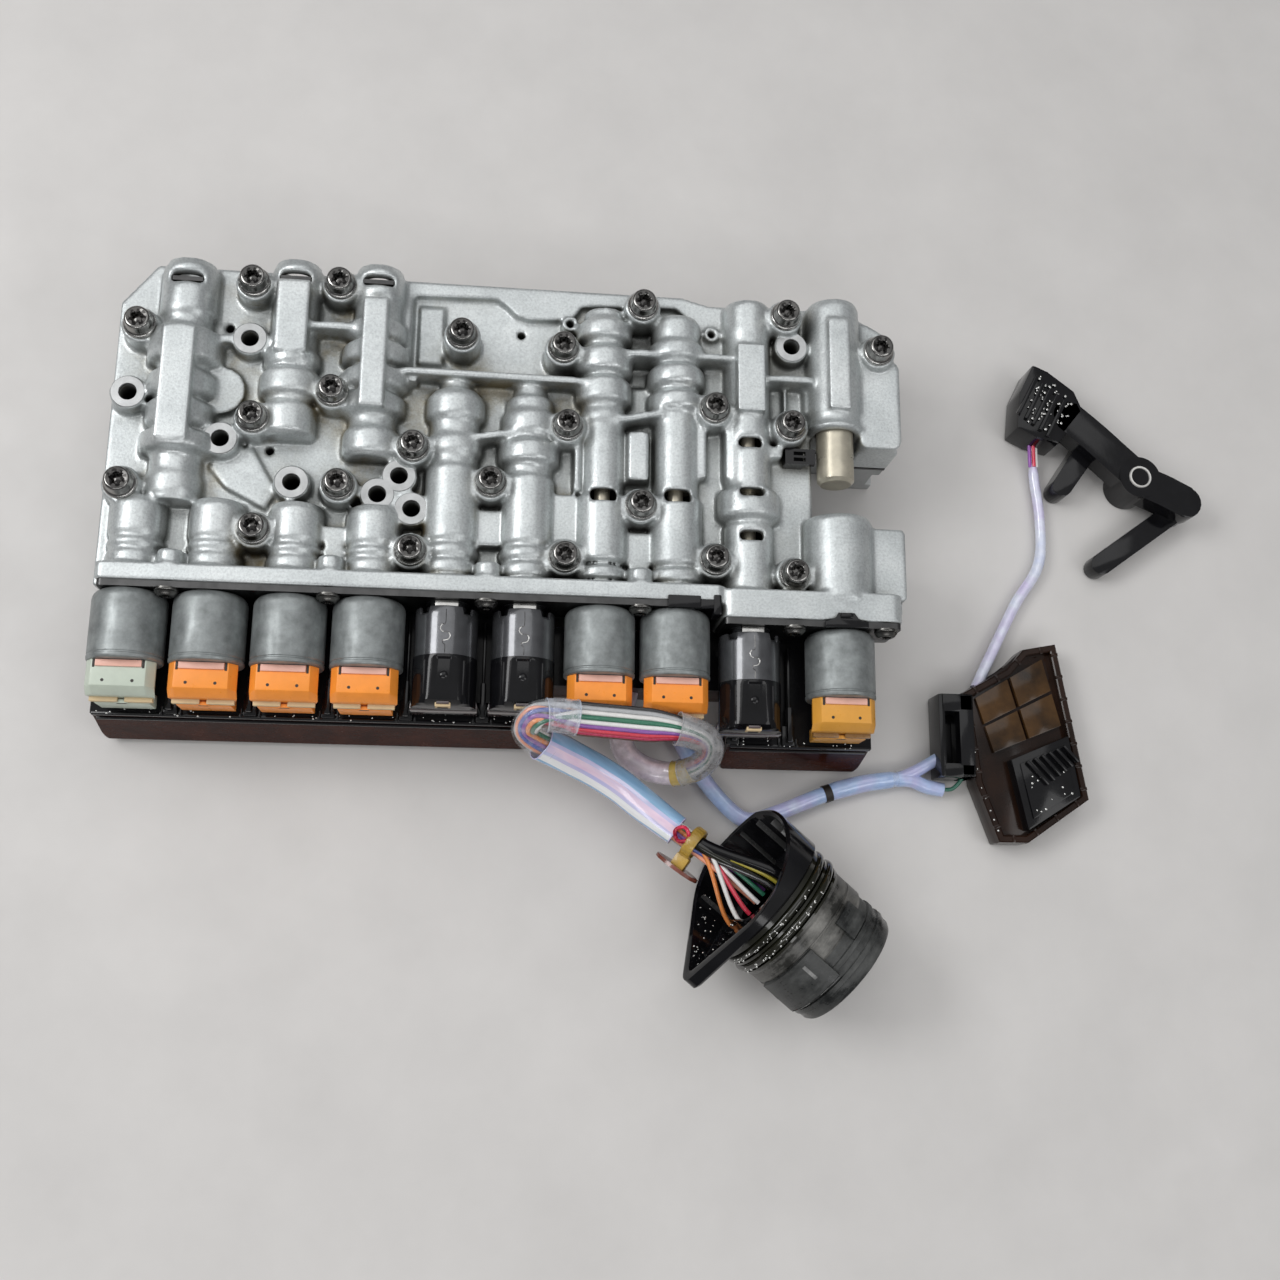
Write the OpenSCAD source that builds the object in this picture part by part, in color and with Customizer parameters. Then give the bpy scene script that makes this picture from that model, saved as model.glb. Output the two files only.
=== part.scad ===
// Transmission valve body: two bolted castings with valve bores, ten solenoids on the front flange,
// a conductor tray and the wiring harness with its round plug and two sensors.
// X runs along the flange, Y from the solenoids to the back edge, Z up from the gearbox face.

/* [Castings] */
// Depth from the flange face to the back edge
casting_d = 134; // [130:1:142]
// Height of the lower casting
lower_h = 24.5; // [22:0.5:28]
// Thickness of the separator plate
plate_t = 1.5; // [1:0.1:2.5]
// Thickness of the upper casting's deck
deck_t = 17; // [15:0.5:18]
// Bore axis above the separator plate
axis_rise = 19; // [18:0.5:20]
// Thickness of the front flange
flange_t = 7; // [6:0.5:8]
// Flange top above the bore axis
flange_rise = 13; // [12:0.5:15]
// How far the right part of the flange stands forward
front_step = 6; // [4:0.5:8]
// How far the deck reaches past each end of the flange
side_lip = 4; // [3:0.5:6]
// How far the deck reaches behind the last bore's seat
rear_lip = 2.5; // [2:0.5:4]

/* [Bores] */
// Distance between neighbouring bores
bore_pitch = 30; // [29.5:0.5:32]
// First bore from the left end of the flange
first_bore = 11.5; // [10.5:0.5:13]
// Ninth to tenth bore
last_gap = 37; // [36:0.5:40]
// Tenth bore to the right end of the flange
end_margin = 23.5; // [22:0.5:28]
// Diameter of the spool bores
spool_bore_d = 13; // [11.5:0.5:13.5]
// Diameter of the solenoid nose bores
nose_bore_d = 17; // [15:0.5:17.5]
// Depth of the solenoid noses in the casting
nose_l = 20; // [17:0.5:22]
// Radial running clearance of spools and noses
running_gap = 0.05; // [0.02:0.01:0.08]
// Clearance between pieces that only come close
rest_gap = 0.3; // [0.2:0.05:0.5]
// Diameter of the manual valve
manual_d = 15.4; // [14:0.2:16]

/* [Solenoids] */
// Diameter of a pressure regulator's can
can_d = 28; // [26:0.5:29]
// Length of a pressure regulator's can
can_l = 27.5; // [25:0.5:30]
// Rounding of a can's shoulder
can_shoulder = 4; // [3:0.5:4.5]
// Length of a regulator's plug cap
cap_l = 15; // [13:0.5:17]
// Width of a regulator's plug cap
cap_w = 26.5; // [24:0.5:28]
// Diameter of an on/off solenoid
slim_d = 24.5; // [22:0.5:26]
// Length of an on/off solenoid's steel can
slim_l = 19; // [17:0.5:21]
// Thickness of the retainer plates
retainer_t = 2.5; // [2:0.1:3]

/* [Fasteners] */
// Thread diameter of the housing bolts
bolt_d = 6; // [5:0.5:6.5]
// Diameter of their flange heads
head_d = 13; // [12:0.5:14]
// Height of their heads
head_h = 6.5; // [5:0.5:7.5]
// Boss seat above the bore axis
seat_rise = 8.5; // [7:0.5:9.5]
// Diameter of the fixing holes
fixing_d = 6.6; // [6:0.1:7.2]
// Fixing boss top above the bore axis
ring_rise = 5.5; // [4.5:0.5:7]
// Thread diameter of the retainer screws
screw_d = 4; // [3:0.5:5]

/* [Tray and plug] */
// Wall of the conductor tray
tray_wall = 2.5; // [2:0.25:3.5]
// Tray bottom edge above the gearbox face
tray_lift = 4; // [3:0.5:8]
// How far the tray's skirt flares out at the bottom
tray_flare = 6; // [3:0.5:8]
// Radius of the round plug's barrel
plug_r = 25; // [23:0.5:27]
// Length of the round plug's barrel
plug_l = 45; // [43:1:52]
// Thickness of the plug's wire guard
guard_wall = 2.5; // [2:0.25:3.5]

/* [Hidden] */
VALVES = 8;
SOLENOIDS = 10;

// Places on the casting: across in bore pitches from the first bore, back in percent of the depth
function across(u) = first_bore + u * bore_pitch;
function back(v) = v * casting_d / 100;
last_u = 8 + last_gap / bore_pitch;
flange_w = across(last_u) + end_margin;
right_x = flange_w + side_lip;
step_x = across(7.57);
rear_y = casting_d + rear_lip;
tip_proud = 1;
back_end = rear_y + tip_proud;
base_z = lower_h + plate_t;
deck_z = base_z + deck_t;
axis_z = base_z + axis_rise;
flange_z = axis_z + flange_rise;
seat_z = axis_z + seat_rise;
ring_z = axis_z + ring_rise;
spool_r = spool_bore_d / 2;
nose_r = nose_bore_d / 2;
reach = retainer_t + can_l + cap_l;
origin_x = flange_w / 2;
tray_front = -reach - 1.5;
origin_y = (back_end + tray_front - front_step - tray_flare) / 2;
edge_fn = 48;

// Ridge over a bore: across, front, back, neck radius, discs [middle, width, radius], tip radius, tip end
bevel = 1.2;
tip_v = 100 * back_end / casting_d;
RIDGES = [
    [0.4, 25, 100.6, 10,
        [[30.2, 7.5, 11], [43, 7.5, 14.6], [52, 8.5, 13.2], [61.3, 8.5, 13.4], [73.2, 11.5, 14.6],
            [91, 17, 11.4]]],
    [1.8, 46.5, tip_v, 9.2, [[52, 10.5, 11.2], [63.3, 9, 12.3], [71.3, 6.5, 11.3], [96.5, 10, 10.4]]],
    [2.9, 41, tip_v, 9.4,
        [[46, 9, 11.6], [58, 7.5, 13], [66, 7.5, 13.6], [74.2, 7.5, 13.6], [82, 7, 12], [96.5, 10, 10.6]]],
    [4, 3, 64, 9.8, [[8.5, 5, 11], [13.5, 4.4, 11], [28, 24, 11], [46.2, 6.5, 11.3], [58.5, 9, 12]], 6.9, 67],
    [5, 3, 63, 9.6, [[8.5, 5, 10.8], [13.5, 4.4, 10.8], [27, 22, 10.8], [45, 8, 12.4], [54.5, 8, 11.2]],
        6.9, 67],
    [6, 3, 93, 8.6, [[8.5, 5, 10.8], [22.5, 22, 10.8], [58, 5, 9.8], [66.3, 9, 11.6], [76.2, 9, 12], [86.2,
        7.5, 11.6]]],
    [7, 3, 92, 9.2, [[8.5, 5, 11], [22.5, 22.4, 11], [64, 7, 11.8], [72.3, 7.5, 12], [80.5, 7, 12], [88, 7,
        10.2]]],
    [8, 3, 98.6, 9.3, [[14.5, 23.4, 10.2], [32, 10.5, 13], [92, 12, 9.9]]],
    [last_u, 57, 100.4, 10.4, [[58.3, 2.6, 12.2], [80.8, 37, 11.3]]],
    [last_u, 1, 29, 13.2, [[15.2, 27, 14.3]]],
    for (i = [0:3]) [i, 3, 26, 9.8, [[6.8, 6.4, 10.8], [12, 3.2, 10.8], [19.6, 11, 10.8]]],
];

// Housing bolts and fixing holes: across, back, with the bolt behind the selector clip
clip_bolt = [8.55, 57];
BOLTS = [
    [-0.15, 78.5], [1.27, 94], [2.4, 95], [4.05, 81], [2.38, 60.5], [1.38, 51], [3.47, 44.5], [-0.2, 29],
    [2.53, 31.5], [1.5, 17], [3.5, 12.5], [4.5, 34.5], [6.5, 94], [5.42, 78.5], [8.5, 93.5],
        [last_u + 0.58, 83.5],
    [5.5, 53.5], [7.5, 61.5], clip_bolt, [6.5, 29.5], [5.5, 12.5], [7.5, 13.5], [8.57, 10],
];
FIXINGS = [[-0.25, 58], [1.25, 77], [0.97, 45], [1.92, 32.5], [3.03, 30], [3.3, 36], [3.48, 26], [8.6, 84.5]];

// Small drilled bosses and plain drilled holes: across, back
STUDS = [[5.52, 89.7], [7.5, 89]];
DRILLS = [[4.85, 87], [0.93, 82.4], [1.57, 44]];
drill_d = 3.4;

// Raised blank pads on the ridges: across, front, back, width, top above the axis
PADS = [[0.4, 42, 77, 12.5, 14.9], [1.8, 72, 95, 12.8, 11.8], [2.9, 55, 90, 10, 14.4], [8, 61, 83, 11.5,
    11.2],
    [last_u, 63, 93, 9, 12.3]];

// Webs between the ridges: from, to, thickness, top above the axis
RIBS = [
    [[3.25, 68.8], [5.78, 68.4], 2.8, 9], [[2.05, 81.8], [2.75, 81.8], 3.2, 9], [[0.8, 76.8], [1.6, 76.8],
        3.2, ring_rise],
    [[4.2, 48.5], [4.82, 51], 3, 9], [[6.2, 78.5], [6.8, 78.8], 3, 9], [[7.2, 79], [7.8, 79], 3, 8.5],
    [[6.2, 56.7], [6.8, 59.7], 3, 9], [[8.25, 73], [8.9, 73], 3, 8.5], [[5.65, 34], [5.65, 53], 2.6, 5.5],
    [[7.37, 40], [7.37, 60], 2.6, 5.5], [[7.7, 40], [7.7, 60], 2.6, 5.5], [[6.47, 38], [6.47, 54], 9, 6],
    [[4.5, 16], [4.5, 27], 8, 4], [[5.5, 18], [5.5, 33], 8, 4], [[6.5, 9], [6.5, 22], 8, 4], [[2.5, 8],
        [2.5, 20], 7, 4],
    [[8.2, 40], [8.2, 54], 2.6, 4], [[3.42, 66], [3.42, 69], 3, 6], [[8.12, 49.5], [8.47, 49.5], 5, 5.5],
    [[8.53, 63.5], [8.53, 72.5], 1.6, 1.5], [[8.82, 63.5], [8.82, 72.5], 1.6, 1.5],
];

// Valve spools: across, front end, back end and spring end, and the rear plug's share of the bore
plug_front = back(84);
SLOT_AT = [94.3, 96.6, 97];
slot_l = 4;
slot_w = 12.5;
cut_h = 24;
SPOOLS = [
    for (k = [[0.4, 29, 70], [1.8, 50, 71], [2.9, 45, 70]]) [k[0], back(k[1]) + rest_gap, back(k[2]),
        plug_front],
    for (k = [[4, 45, 61.5], [5, 45, 60.5], [6, 66, 92], [7, 64, 90], [8, 70, 96]])
        [k[0], nose_l + rest_gap - lead_of(k[0]), back(k[1]), back(k[2])],
];
travel = 6;
// The ninth and tenth solenoids stand forward with their part of the flange
function lead_of(u) = u > 7.5 ? front_step : 0;
function solenoid_u(i) = i < SOLENOIDS ? i - 1 : last_u;
function is_slim(i) = i == 5 || i == 6 || i == 9;
SCREWS = [[0.5, 0], [2.5, 0], [4.5, 0], [6.5, 0], [8.55, 1], [last_u + 0.55, 1]];
screw_z = axis_z + 9.5;

// Manual valve and its notch
manual_u = last_u;
manual_front = back(41);
manual_back = back(92);
notch_front = back(29);
notch_back = back(57);
block_front = back(52.5);
block_x = across(manual_u) + 9.6;
notch_x = across(manual_u) - manual_d / 2 - 1.8;

// Harness routes, points chosen along the photographed run, casting frame
LOOM = [[205, -28.5, 17], [203, -42, 15], [205, -54, 15], [213, -60.5, 15.5], [223, -63, 18], [232, -62, 25],
    [236.5, -58, 35], [234, -53, 45], [222, -49.8, 51], [204, -48.6, 53], [187, -47.8, 55], [174, -47.4, 59],
    [166.5, -48.4, 59.5], [163.5, -51.8, 54], [167, -54.8, 47.5], [177, -58.5, 39.5], [189, -63, 31.5],
    [201, -69, 25.5], [212, -76.5, 21.5], [222.5, -84, 20.5], [232.5, -91.5, 22.5], [243, -99.5, 26.5],
    [259, -112, 29.2], [269, -120.3, 28.1]];
tie_at = 20;
BRANCH = [[224, -28.5, 9], [228, -44, 5], [238, -61, 3.8], [250, -75, 3.8], [259, -80, 3.8], [270, -77, 3.8],
    [291, -68.5, 3.8], [308, -63.5, 3.8], [326, -60, 4], [341, -52, 6]];
LEAD = [[359, -21, 6], [366, -8, 4], [380, 18, 2.8], [392, 37, 2.8], [394, 58, 2.8], [392, 80, 3.5], [391,
    95, 6]];
loom_r = 5.5;
branch_r = 3.5;
lead_r = 2.5;

// Round plug: middle of its guard on the floor plan, turn and dip of its axis
plug_at = [259, -112, 29.2];
plug_turn = -39.5;
plug_dip = 5;
guard_r = 29;
guard_ear = 45;
guard_l = 21;
guard_brow = 4;
guard_tilt = 10.5;

module placed() translate([-origin_x, -origin_y, 0]) children();

// Turned solid about Z from stations [height, radius]
module turned(stations) {
    n = len(stations);
    rotate_extrude($fn = edge_fn)
        polygon(concat([[0, stations[0][0]]], [for (s = stations) [s[1], s[0]]], [[0, stations[n - 1][0]]]));
}

// Children's Z axis laid along a bore, towards the back or out of the flange
module on_bore(u) translate([across(u), 0, axis_z]) rotate([-90, 0, 0]) children();
module out_of_flange(u) translate([across(u), -lead_of(u), axis_z]) rotate([90, 0, 0]) children();
module rod(r, from, to) translate([0, 0, from]) cylinder(r = r, h = to - from, $fn = edge_fn);

function disc(d, neck) = [[back(d[0] - d[1] / 2), neck], [back(d[0] - d[1] / 2 + bevel), d[2]],
    [back(d[0] + d[1] / 2 - bevel), d[2]], [back(d[0] + d[1] / 2), neck]];
function tip(k) = len(k) > 5 ? [[back(k[2]), k[5]], [back(k[6]), k[5] - 0.6]] : [];

module ridge(k) on_bore(k[0])
    turned(concat([[back(k[1]), k[3]]], [for (d = k[4]) each disc(d, k[3])], [[back(k[2]), k[3]]], tip(k)));

module round_rect(w, h, r) {
    translate([r, 0]) square([w - 2 * r, h]);
    translate([0, r]) square([w, h - 2 * r]);
    for (x = [r, w - r], y = [r, h - r]) translate([x, y]) circle(r, $fn = 32);
}

// Straight bar between two plan points
module bar(p, q, t, h) translate(p) rotate([0, 0, atan2(q[1] - p[1], q[0] - p[0])])
    translate([0, -t / 2, 0]) cube([norm(q - p), t, h]);

// Outline of the castings, drawn in by inset, with the selector notch beside the manual valve
module casting_plan(inset, front) polygon([
    [-side_lip + inset, front], [-side_lip + inset, back(89)], [across(-0.08) + inset, rear_y - inset],
    [across(7.1), rear_y - inset], [across(7.48), back(99.6) - inset], [across(9.46), back(100.4) - inset],
    [right_x - inset, back(91.5)], [right_x - inset, block_front], [block_x, block_front], [block_x,
        notch_back],
    [notch_x, notch_back], [notch_x, notch_front], [across(manual_u) + 14, notch_front], [across(manual_u)
        + 14, back(27)],
    [right_x - inset, back(27)], [right_x - inset, front]
]);

module bolt_places() for (b = BOLTS) translate([across(b[0]), back(b[1]), 0]) children();
module fixing_places() for (b = FIXINGS) translate([across(b[0]), back(b[1]), 0]) children();
module stud_places() for (b = STUDS) translate([across(b[0]), back(b[1]), 0]) children();
module drill_places() for (b = concat(STUDS, DRILLS)) translate([across(b[0]), back(b[1]), 0]) children();
module screw_places() for (s = SCREWS) translate([across(s[0]), -s[1] * front_step, screw_z]) children();

// Six-lobe socket as a twelve-point star
module six_lobe(r) circle_star(r, 0.74 * r);
module circle_star(r, inner) polygon([for (k = [0:11]) (k % 2 == 0 ? r : inner) * [cos(30 * k),
    sin(30 * k)]]);

// Deck with the sunk panel that the back rim borders
panel_drop = 3.5;
module deck() difference() {
    translate([0, 0, base_z]) linear_extrude(deck_t) casting_plan(0, 1);
    translate([0, 0, deck_z - panel_drop]) linear_extrude(deck_t) polygon([
        [across(3.36), back(70.5)], [across(7.4), back(70.5)], [across(7.37), back(91)], [across(7),
            back(98)],
        [across(5.68), back(96.6)], [across(5.6), back(93.5)], [across(5.47), back(91.8)], [across(4.95),
            back(91.2)],
        [across(4.78), back(92.3)], [across(4.66), back(95)], [across(4.5), back(97.6)], [across(3.36),
            back(97)]]);
}

module flange_block() {
    translate([0, flange_t, base_z]) rotate([90, 0, 0])
        linear_extrude(flange_t) round_rect(step_x + 1, flange_z - base_z, 3);
    translate([step_x, flange_t - 1, base_z]) rotate([90, 0, 0])
        linear_extrude(flange_t - 1 + front_step) round_rect(flange_w - step_x, flange_z - base_z, 5);
}

bolt_boss_d = head_d + 2;
module bosses() {
    bolt_places() translate([0, 0, base_z + 2]) cylinder(d = bolt_boss_d, h = seat_z - base_z - 2,
        $fn = edge_fn);
    fixing_places() translate([0, 0, base_z + 2]) cylinder(d = head_d + 1.2, h = ring_z - base_z - 2,
        $fn = edge_fn);
    stud_places() translate([0, 0, base_z + 2]) cylinder(d = 2 * drill_d, h = axis_z - base_z - 1,
        $fn = edge_fn);
    for (i = [0:3]) translate([across(SCREWS[i][0]), flange_t - 2, screw_z - 2]) rotate([-90, 0, 0])
        cylinder(r = 5, h = 8, $fn = edge_fn);
}

field_rise = 7;
// Side block at the manual valve, pad beside the last bore, half disc and plate on the left deck
module raised_fields() {
    translate([block_x, block_front, deck_z - 2]) linear_extrude(field_rise + 2)
        round_rect(right_x - block_x, back(82) - block_front, 4);
    translate([across(manual_u) + 12, flange_t - 2, deck_z - 2]) linear_extrude(field_rise + 2)
        round_rect(right_x - across(manual_u) - 12, back(26.5) - flange_t + 2, 2);
    translate([across(0.88), back(61.5), deck_z - 2]) cylinder(r = 10, h = 5, $fn = edge_fn);
    translate([0, 0, deck_z - 2]) linear_extrude(3.6) polygon([[across(0.8), back(38)], [across(1.33),
        back(45)],
        [across(1.7), back(31)], [across(1.57), back(25.5)], [across(1.05), back(31.5)]]);
    translate([across(3.45), back(75), deck_z - panel_drop - 1]) cube([10, back(19), 3]);
}

module valve_bores() {
    for (k = SPOOLS) on_bore(k[0]) {
        blind = k[3] > plug_front || k[0] > 3.5;
        rod(spool_r, k[1] - rest_gap - (k[0] > 3.5 ? 1 : 0), blind ? k[3] : back_end + 1);
    }
    for (i = [1:SOLENOIDS]) out_of_flange(solenoid_u(i)) rod(nose_r, -nose_l, front_step + 1);
    on_bore(manual_u) rod(manual_d / 2 + running_gap, notch_back - 1, back(99));
}

module slots() {
    for (k = [0:2]) translate([across(RIDGES[k][0]) - slot_w / 2, back(SLOT_AT[k]) - slot_l / 2, axis_z - 6])
        cube([slot_w, slot_l, cut_h]);
    for (w = [[6, 32.4, 10.5, 5.5], [7, 33, 10.5, 5.5], [8, 51.5, 9.5, 4], [8, 35, 10.5, 4], [8, 21.6, 9.5,
        4]])
        translate([across(w[0]) - w[2] / 2, back(w[1]) - w[3] / 2, axis_z]) cube([w[2], w[3], cut_h]);
}

module upper_housing() color("silver") placed() difference() {
    union() {
        deck();
        flange_block();
        bosses();
        raised_fields();
        for (k = RIDGES) ridge(k);
        for (p = PADS) translate([across(p[0]) - p[3] / 2, back(p[1]), axis_z]) cube([p[3],
            back(p[2] - p[1]), p[4]]);
        for (r = RIBS) translate([0, 0, deck_z - 5])
            bar([across(r[0][0]), back(r[0][1])], [across(r[1][0]), back(r[1][1])], r[2],
                axis_z + r[3] - deck_z + 5);
    }
    valve_bores();
    slots();
    bolt_places() translate([0, 0, base_z - 1]) cylinder(d = bolt_d + 2 * rest_gap, h = 60, $fn = edge_fn);
    bolt_places() translate([0, 0, seat_z]) cylinder(d = head_d + 2 * rest_gap, h = 30, $fn = edge_fn);
    fixing_places() translate([0, 0, base_z - 1]) cylinder(d = fixing_d, h = 60, $fn = edge_fn);
    drill_places() translate([0, 0, axis_z - 12]) cylinder(d = drill_d, h = 60, $fn = edge_fn);
    for (s = SCREWS) translate([across(s[0]), -s[1] * front_step - 1, screw_z]) rotate([-90, 0, 0])
        cylinder(d = screw_d + 0.2, h = 12, $fn = edge_fn);
}

module separator_plate() color("gray") placed() translate([0, 0, lower_h]) difference() {
    linear_extrude(plate_t) casting_plan(0.5, 0.5);
    bolt_places() translate([0, 0, -1]) cylinder(d = bolt_d + 2 * rest_gap, h = plate_t + 2, $fn = edge_fn);
    fixing_places() translate([0, 0, -1]) cylinder(d = fixing_d, h = plate_t + 2, $fn = edge_fn);
}

// Oil channel of round-ended strokes through plan points; the shank is a little slimmer than its ends
shank = 0.94;
module channel(points, w) {
    for (p = points) translate([across(p[0]), back(p[1])]) circle(d = w, $fn = 24);
    for (i = [1:len(points) - 1]) {
        p = [across(points[i - 1][0]), back(points[i - 1][1])];
        q = [across(points[i][0]), back(points[i][1])];
        translate(p) rotate(atan2(q[1] - p[1], q[0] - p[0])) translate([0, -w * shank / 2])
            square([norm(q - p), w * shank]);
    }
}

CHANNELS = [
    [[0.3, 20], [0.3, 40], [0.75, 55]], [[0.35, 70], [0.8, 88]], [[1.6, 30], [1.6, 66], [1.9, 80]],
    [[2.1, 18], [2.95, 18]], [[2.9, 50], [2.9, 85], [3.6, 88]], [[4.05, 20], [4.05, 62]], [[4.7, 48], [5.1,
        80], [4.7, 90]],
    [[5.1, 24], [6, 42], [6, 84]], [[7, 22], [7, 82], [7.8, 86]], [[7.9, 22], [7.9, 50], [8.2, 70]],
];
channel_depth = 9;
channel_w = 8;
waist_in = 4;
lower_flange = 6;
thread_floor = 12;
module lower_housing() color("darkgray") placed() difference() {
    union() {
        for (z = [0, lower_h - lower_flange]) translate([0, 0, z]) linear_extrude(lower_flange)
            casting_plan(1, 0);
        linear_extrude(lower_h) casting_plan(waist_in, 0);
        bolt_places() cylinder(d = head_d, h = lower_h, $fn = edge_fn);
        fixing_places() cylinder(d = head_d, h = lower_h, $fn = edge_fn);
    }
    for (c = CHANNELS) translate([0, 0, -1]) linear_extrude(channel_depth + 1) channel(c, channel_w);
    bolt_places() translate([0, 0, thread_floor]) cylinder(d = bolt_d + 0.1, h = lower_h, $fn = edge_fn);
    fixing_places() translate([0, 0, -1]) cylinder(d = fixing_d, h = lower_h + 2, $fn = edge_fn);
}

module flange_bolt(l) difference() {
    turned([[-l, bolt_d / 2 - 0.6], [-l + 1, bolt_d / 2], [0, bolt_d / 2], [0, head_d / 2], [1.2, head_d / 2],
        [2.2, head_d / 2 - 1.1], [head_h - 0.6, head_d / 2 - 1.4], [head_h, head_d / 2 - 2]]);
    translate([0, 0, head_h - 3.2]) linear_extrude(5) six_lobe(0.24 * head_d);
}

bolt_l = seat_z - thread_floor - 0.5;
module housing_bolts() color("dimgray") placed() bolt_places() translate([0, 0, seat_z]) flange_bolt(bolt_l);

// Retainer plate from x0 to x1 with openings for the noses it holds
plate_low = axis_z - 12;
module retainer(x0, x1, forward, held) color("slategray") placed()
    translate([0, -forward, 0]) rotate([90, 0, 0]) linear_extrude(retainer_t) difference() {
        translate([x0, plate_low]) round_rect(x1 - x0, flange_z - 1 - plate_low, 2);
        for (i = held) translate([across(solenoid_u(i)), axis_z]) circle(nose_r + rest_gap, $fn = edge_fn);
        for (s = SCREWS) translate([across(s[0]), screw_z]) circle(d = screw_d + 0.4, $fn = 24);
    }
module retainer_plate_left() retainer(1, step_x - rest_gap, 0, [1:8]);
module retainer_plate_right() retainer(step_x + 1, flange_w - 1, front_step, [9:10]);

module retainer_screws() color("dimgray") placed() screw_places() translate([0, -retainer_t, 0])
    rotate([90, 0, 0])
    difference() {
        turned([[-10, screw_d / 2], [0, screw_d / 2], [0, 4.6], [1, 4.6], [2.6, 3.8], [3.2, 3.2]]);
        translate([0, 0, 1.4]) linear_extrude(4) six_lobe(1.9);
    }

// Pressure regulator: steel can with its nose in the casting
module regulator_can() turned(concat([[-nose_l, nose_r - 1.2], [-nose_l + 1.2, nose_r - running_gap],
    [retainer_t, nose_r - running_gap]],
    [for (a = [0:15:90]) [retainer_t + can_shoulder * (1 - cos(a)), can_d / 2 - can_shoulder * (1 - sin(a))]],
    [[retainer_t + can_l - 1.2, can_d / 2], [retainer_t + can_l, can_d / 2 - 0.6]]));

// Plug cap: chamfered section crossed with a stepped side outline; y is up, z out of the flange
cap_top = 8.5;
cap_low = -12;
cap_bevel = 4;
latch_w = 17;
module regulator_cap() translate([0, 0, retainer_t + can_l]) difference() {
    union() {
        intersection() {
            linear_extrude(cap_l) polygon([
                [-cap_w / 2, cap_low], [cap_w / 2, cap_low], [cap_w / 2, cap_top - cap_bevel],
                [cap_w / 2 - cap_bevel, cap_top], [cap_bevel - cap_w / 2, cap_top], [-cap_w / 2,
                    cap_top - cap_bevel]]);
            rotate([0, -90, 0]) translate([0, 0, -cap_w]) linear_extrude(2 * cap_w) polygon([
                [0, cap_top + 1], [0.66 * cap_l, cap_top + 1], [0.86 * cap_l, cap_top - 4.6],
                [0.86 * cap_l, cap_top - 9], [cap_l, cap_top - 9.5], [cap_l, cap_low - 1], [0, cap_low - 1]]);
        }
        translate([-latch_w / 2, cap_top - 1, 0.2]) cube([latch_w, 1.7, 2.6]);
    }
    translate([-2.5, cap_top - 12.6, cap_l - 1]) cube([5, 2.2, 4]);
}

// On/off solenoid: neck, notched steel can, then the moulded body with a flat and a plug foot
slim_neck = 3;
module slim_can() difference() {
    turned([[-nose_l, nose_r - 1.2], [-nose_l + 1.2, nose_r - running_gap], [retainer_t,
        nose_r - running_gap],
        [retainer_t + slim_neck, 8], [retainer_t + slim_neck, slim_d / 2],
            [retainer_t + slim_neck + slim_l, slim_d / 2]]);
    for (a = [30:60:150]) rotate([0, 0, a]) translate([slim_d / 2 - 2.5, -1.5, retainer_t + slim_neck - 1])
        cube([5, 3, 4]);
}
slim_body_l = reach - retainer_t - slim_neck - slim_l - 1;
module slim_cap() translate([0, 0, retainer_t + slim_neck + slim_l]) difference() {
    union() {
        turned([[0, slim_d / 2 + 0.2], [slim_body_l - 2, slim_d / 2 + 0.2], [slim_body_l, slim_d / 2 - 1.5]]);
        translate([-8, cap_low, slim_body_l - 9]) cube([16, 8, 9]);
    }
    translate([-slim_d, slim_d / 2 - 2.4, 4]) cube([2 * slim_d, 10, slim_body_l]);
}

CAP_COLOURS = ["lightgray", "darkorange", "darkorange", "darkorange", "black", "black", "darkorange",
    "darkorange",
    "black", "orange"];
module solenoid_can(i) color("darkgray") placed() out_of_flange(solenoid_u(i))
    if (is_slim(i)) slim_can(); else regulator_can();
module solenoid_cap(i) color(CAP_COLOURS[i - 1]) placed() out_of_flange(solenoid_u(i))
    if (is_slim(i)) slim_cap(); else regulator_cap();

// Spool with three lands and a spigot for its spring
land_w = 9;
stem_r = 3.2;
module spool(i) {
    k = SPOOLS[i - 1];
    middle = (k[1] + k[2]) / 2;
    land_r = spool_r - running_gap;
    color("lightsteelblue") placed() on_bore(k[0]) turned([[k[1], land_r], [k[1] + land_w, land_r],
        [k[1] + land_w, stem_r],
        [middle - land_w / 2, stem_r], [middle - land_w / 2, land_r], [middle + land_w / 2, land_r],
        [middle + land_w / 2, stem_r], [k[2] - land_w, stem_r], [k[2] - land_w, land_r], [k[2], land_r],
        [k[2], stem_r - 0.4], [k[2] + 4, stem_r - 0.4]]);
}

function unit(v) = v / norm(v);
function along(p, i) = unit(p[min(i + 1, len(p) - 1)] - p[max(i - 1, 0)]);
function hoop(p, i, r, n, up) = let (t = along(p, i), s = unit(cross(t, up)), w = cross(s, t))
    [for (k = [0:n - 1]) p[i] + r * (cos(360 * k / n) * s + sin(360 * k / n) * w)];

// Tube of n sides swept through the points p
module tube(p, r, n, up) {
    m = len(p);
    polyhedron(
        points = [for (i = [0:m - 1]) each hoop(p, i, r, n, up)],
        faces = concat([[for (k = [n - 1:-1:0]) k]], [[for (k = [0:n - 1]) (m - 1) * n + k]],
            [for (i = [0:m - 2], k = [0:n - 1]) each let (a = i * n + k, b = i * n + (k + 1) % n)
                [[a, b, b + n], [a, b + n, a + n]]]));
}

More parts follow.
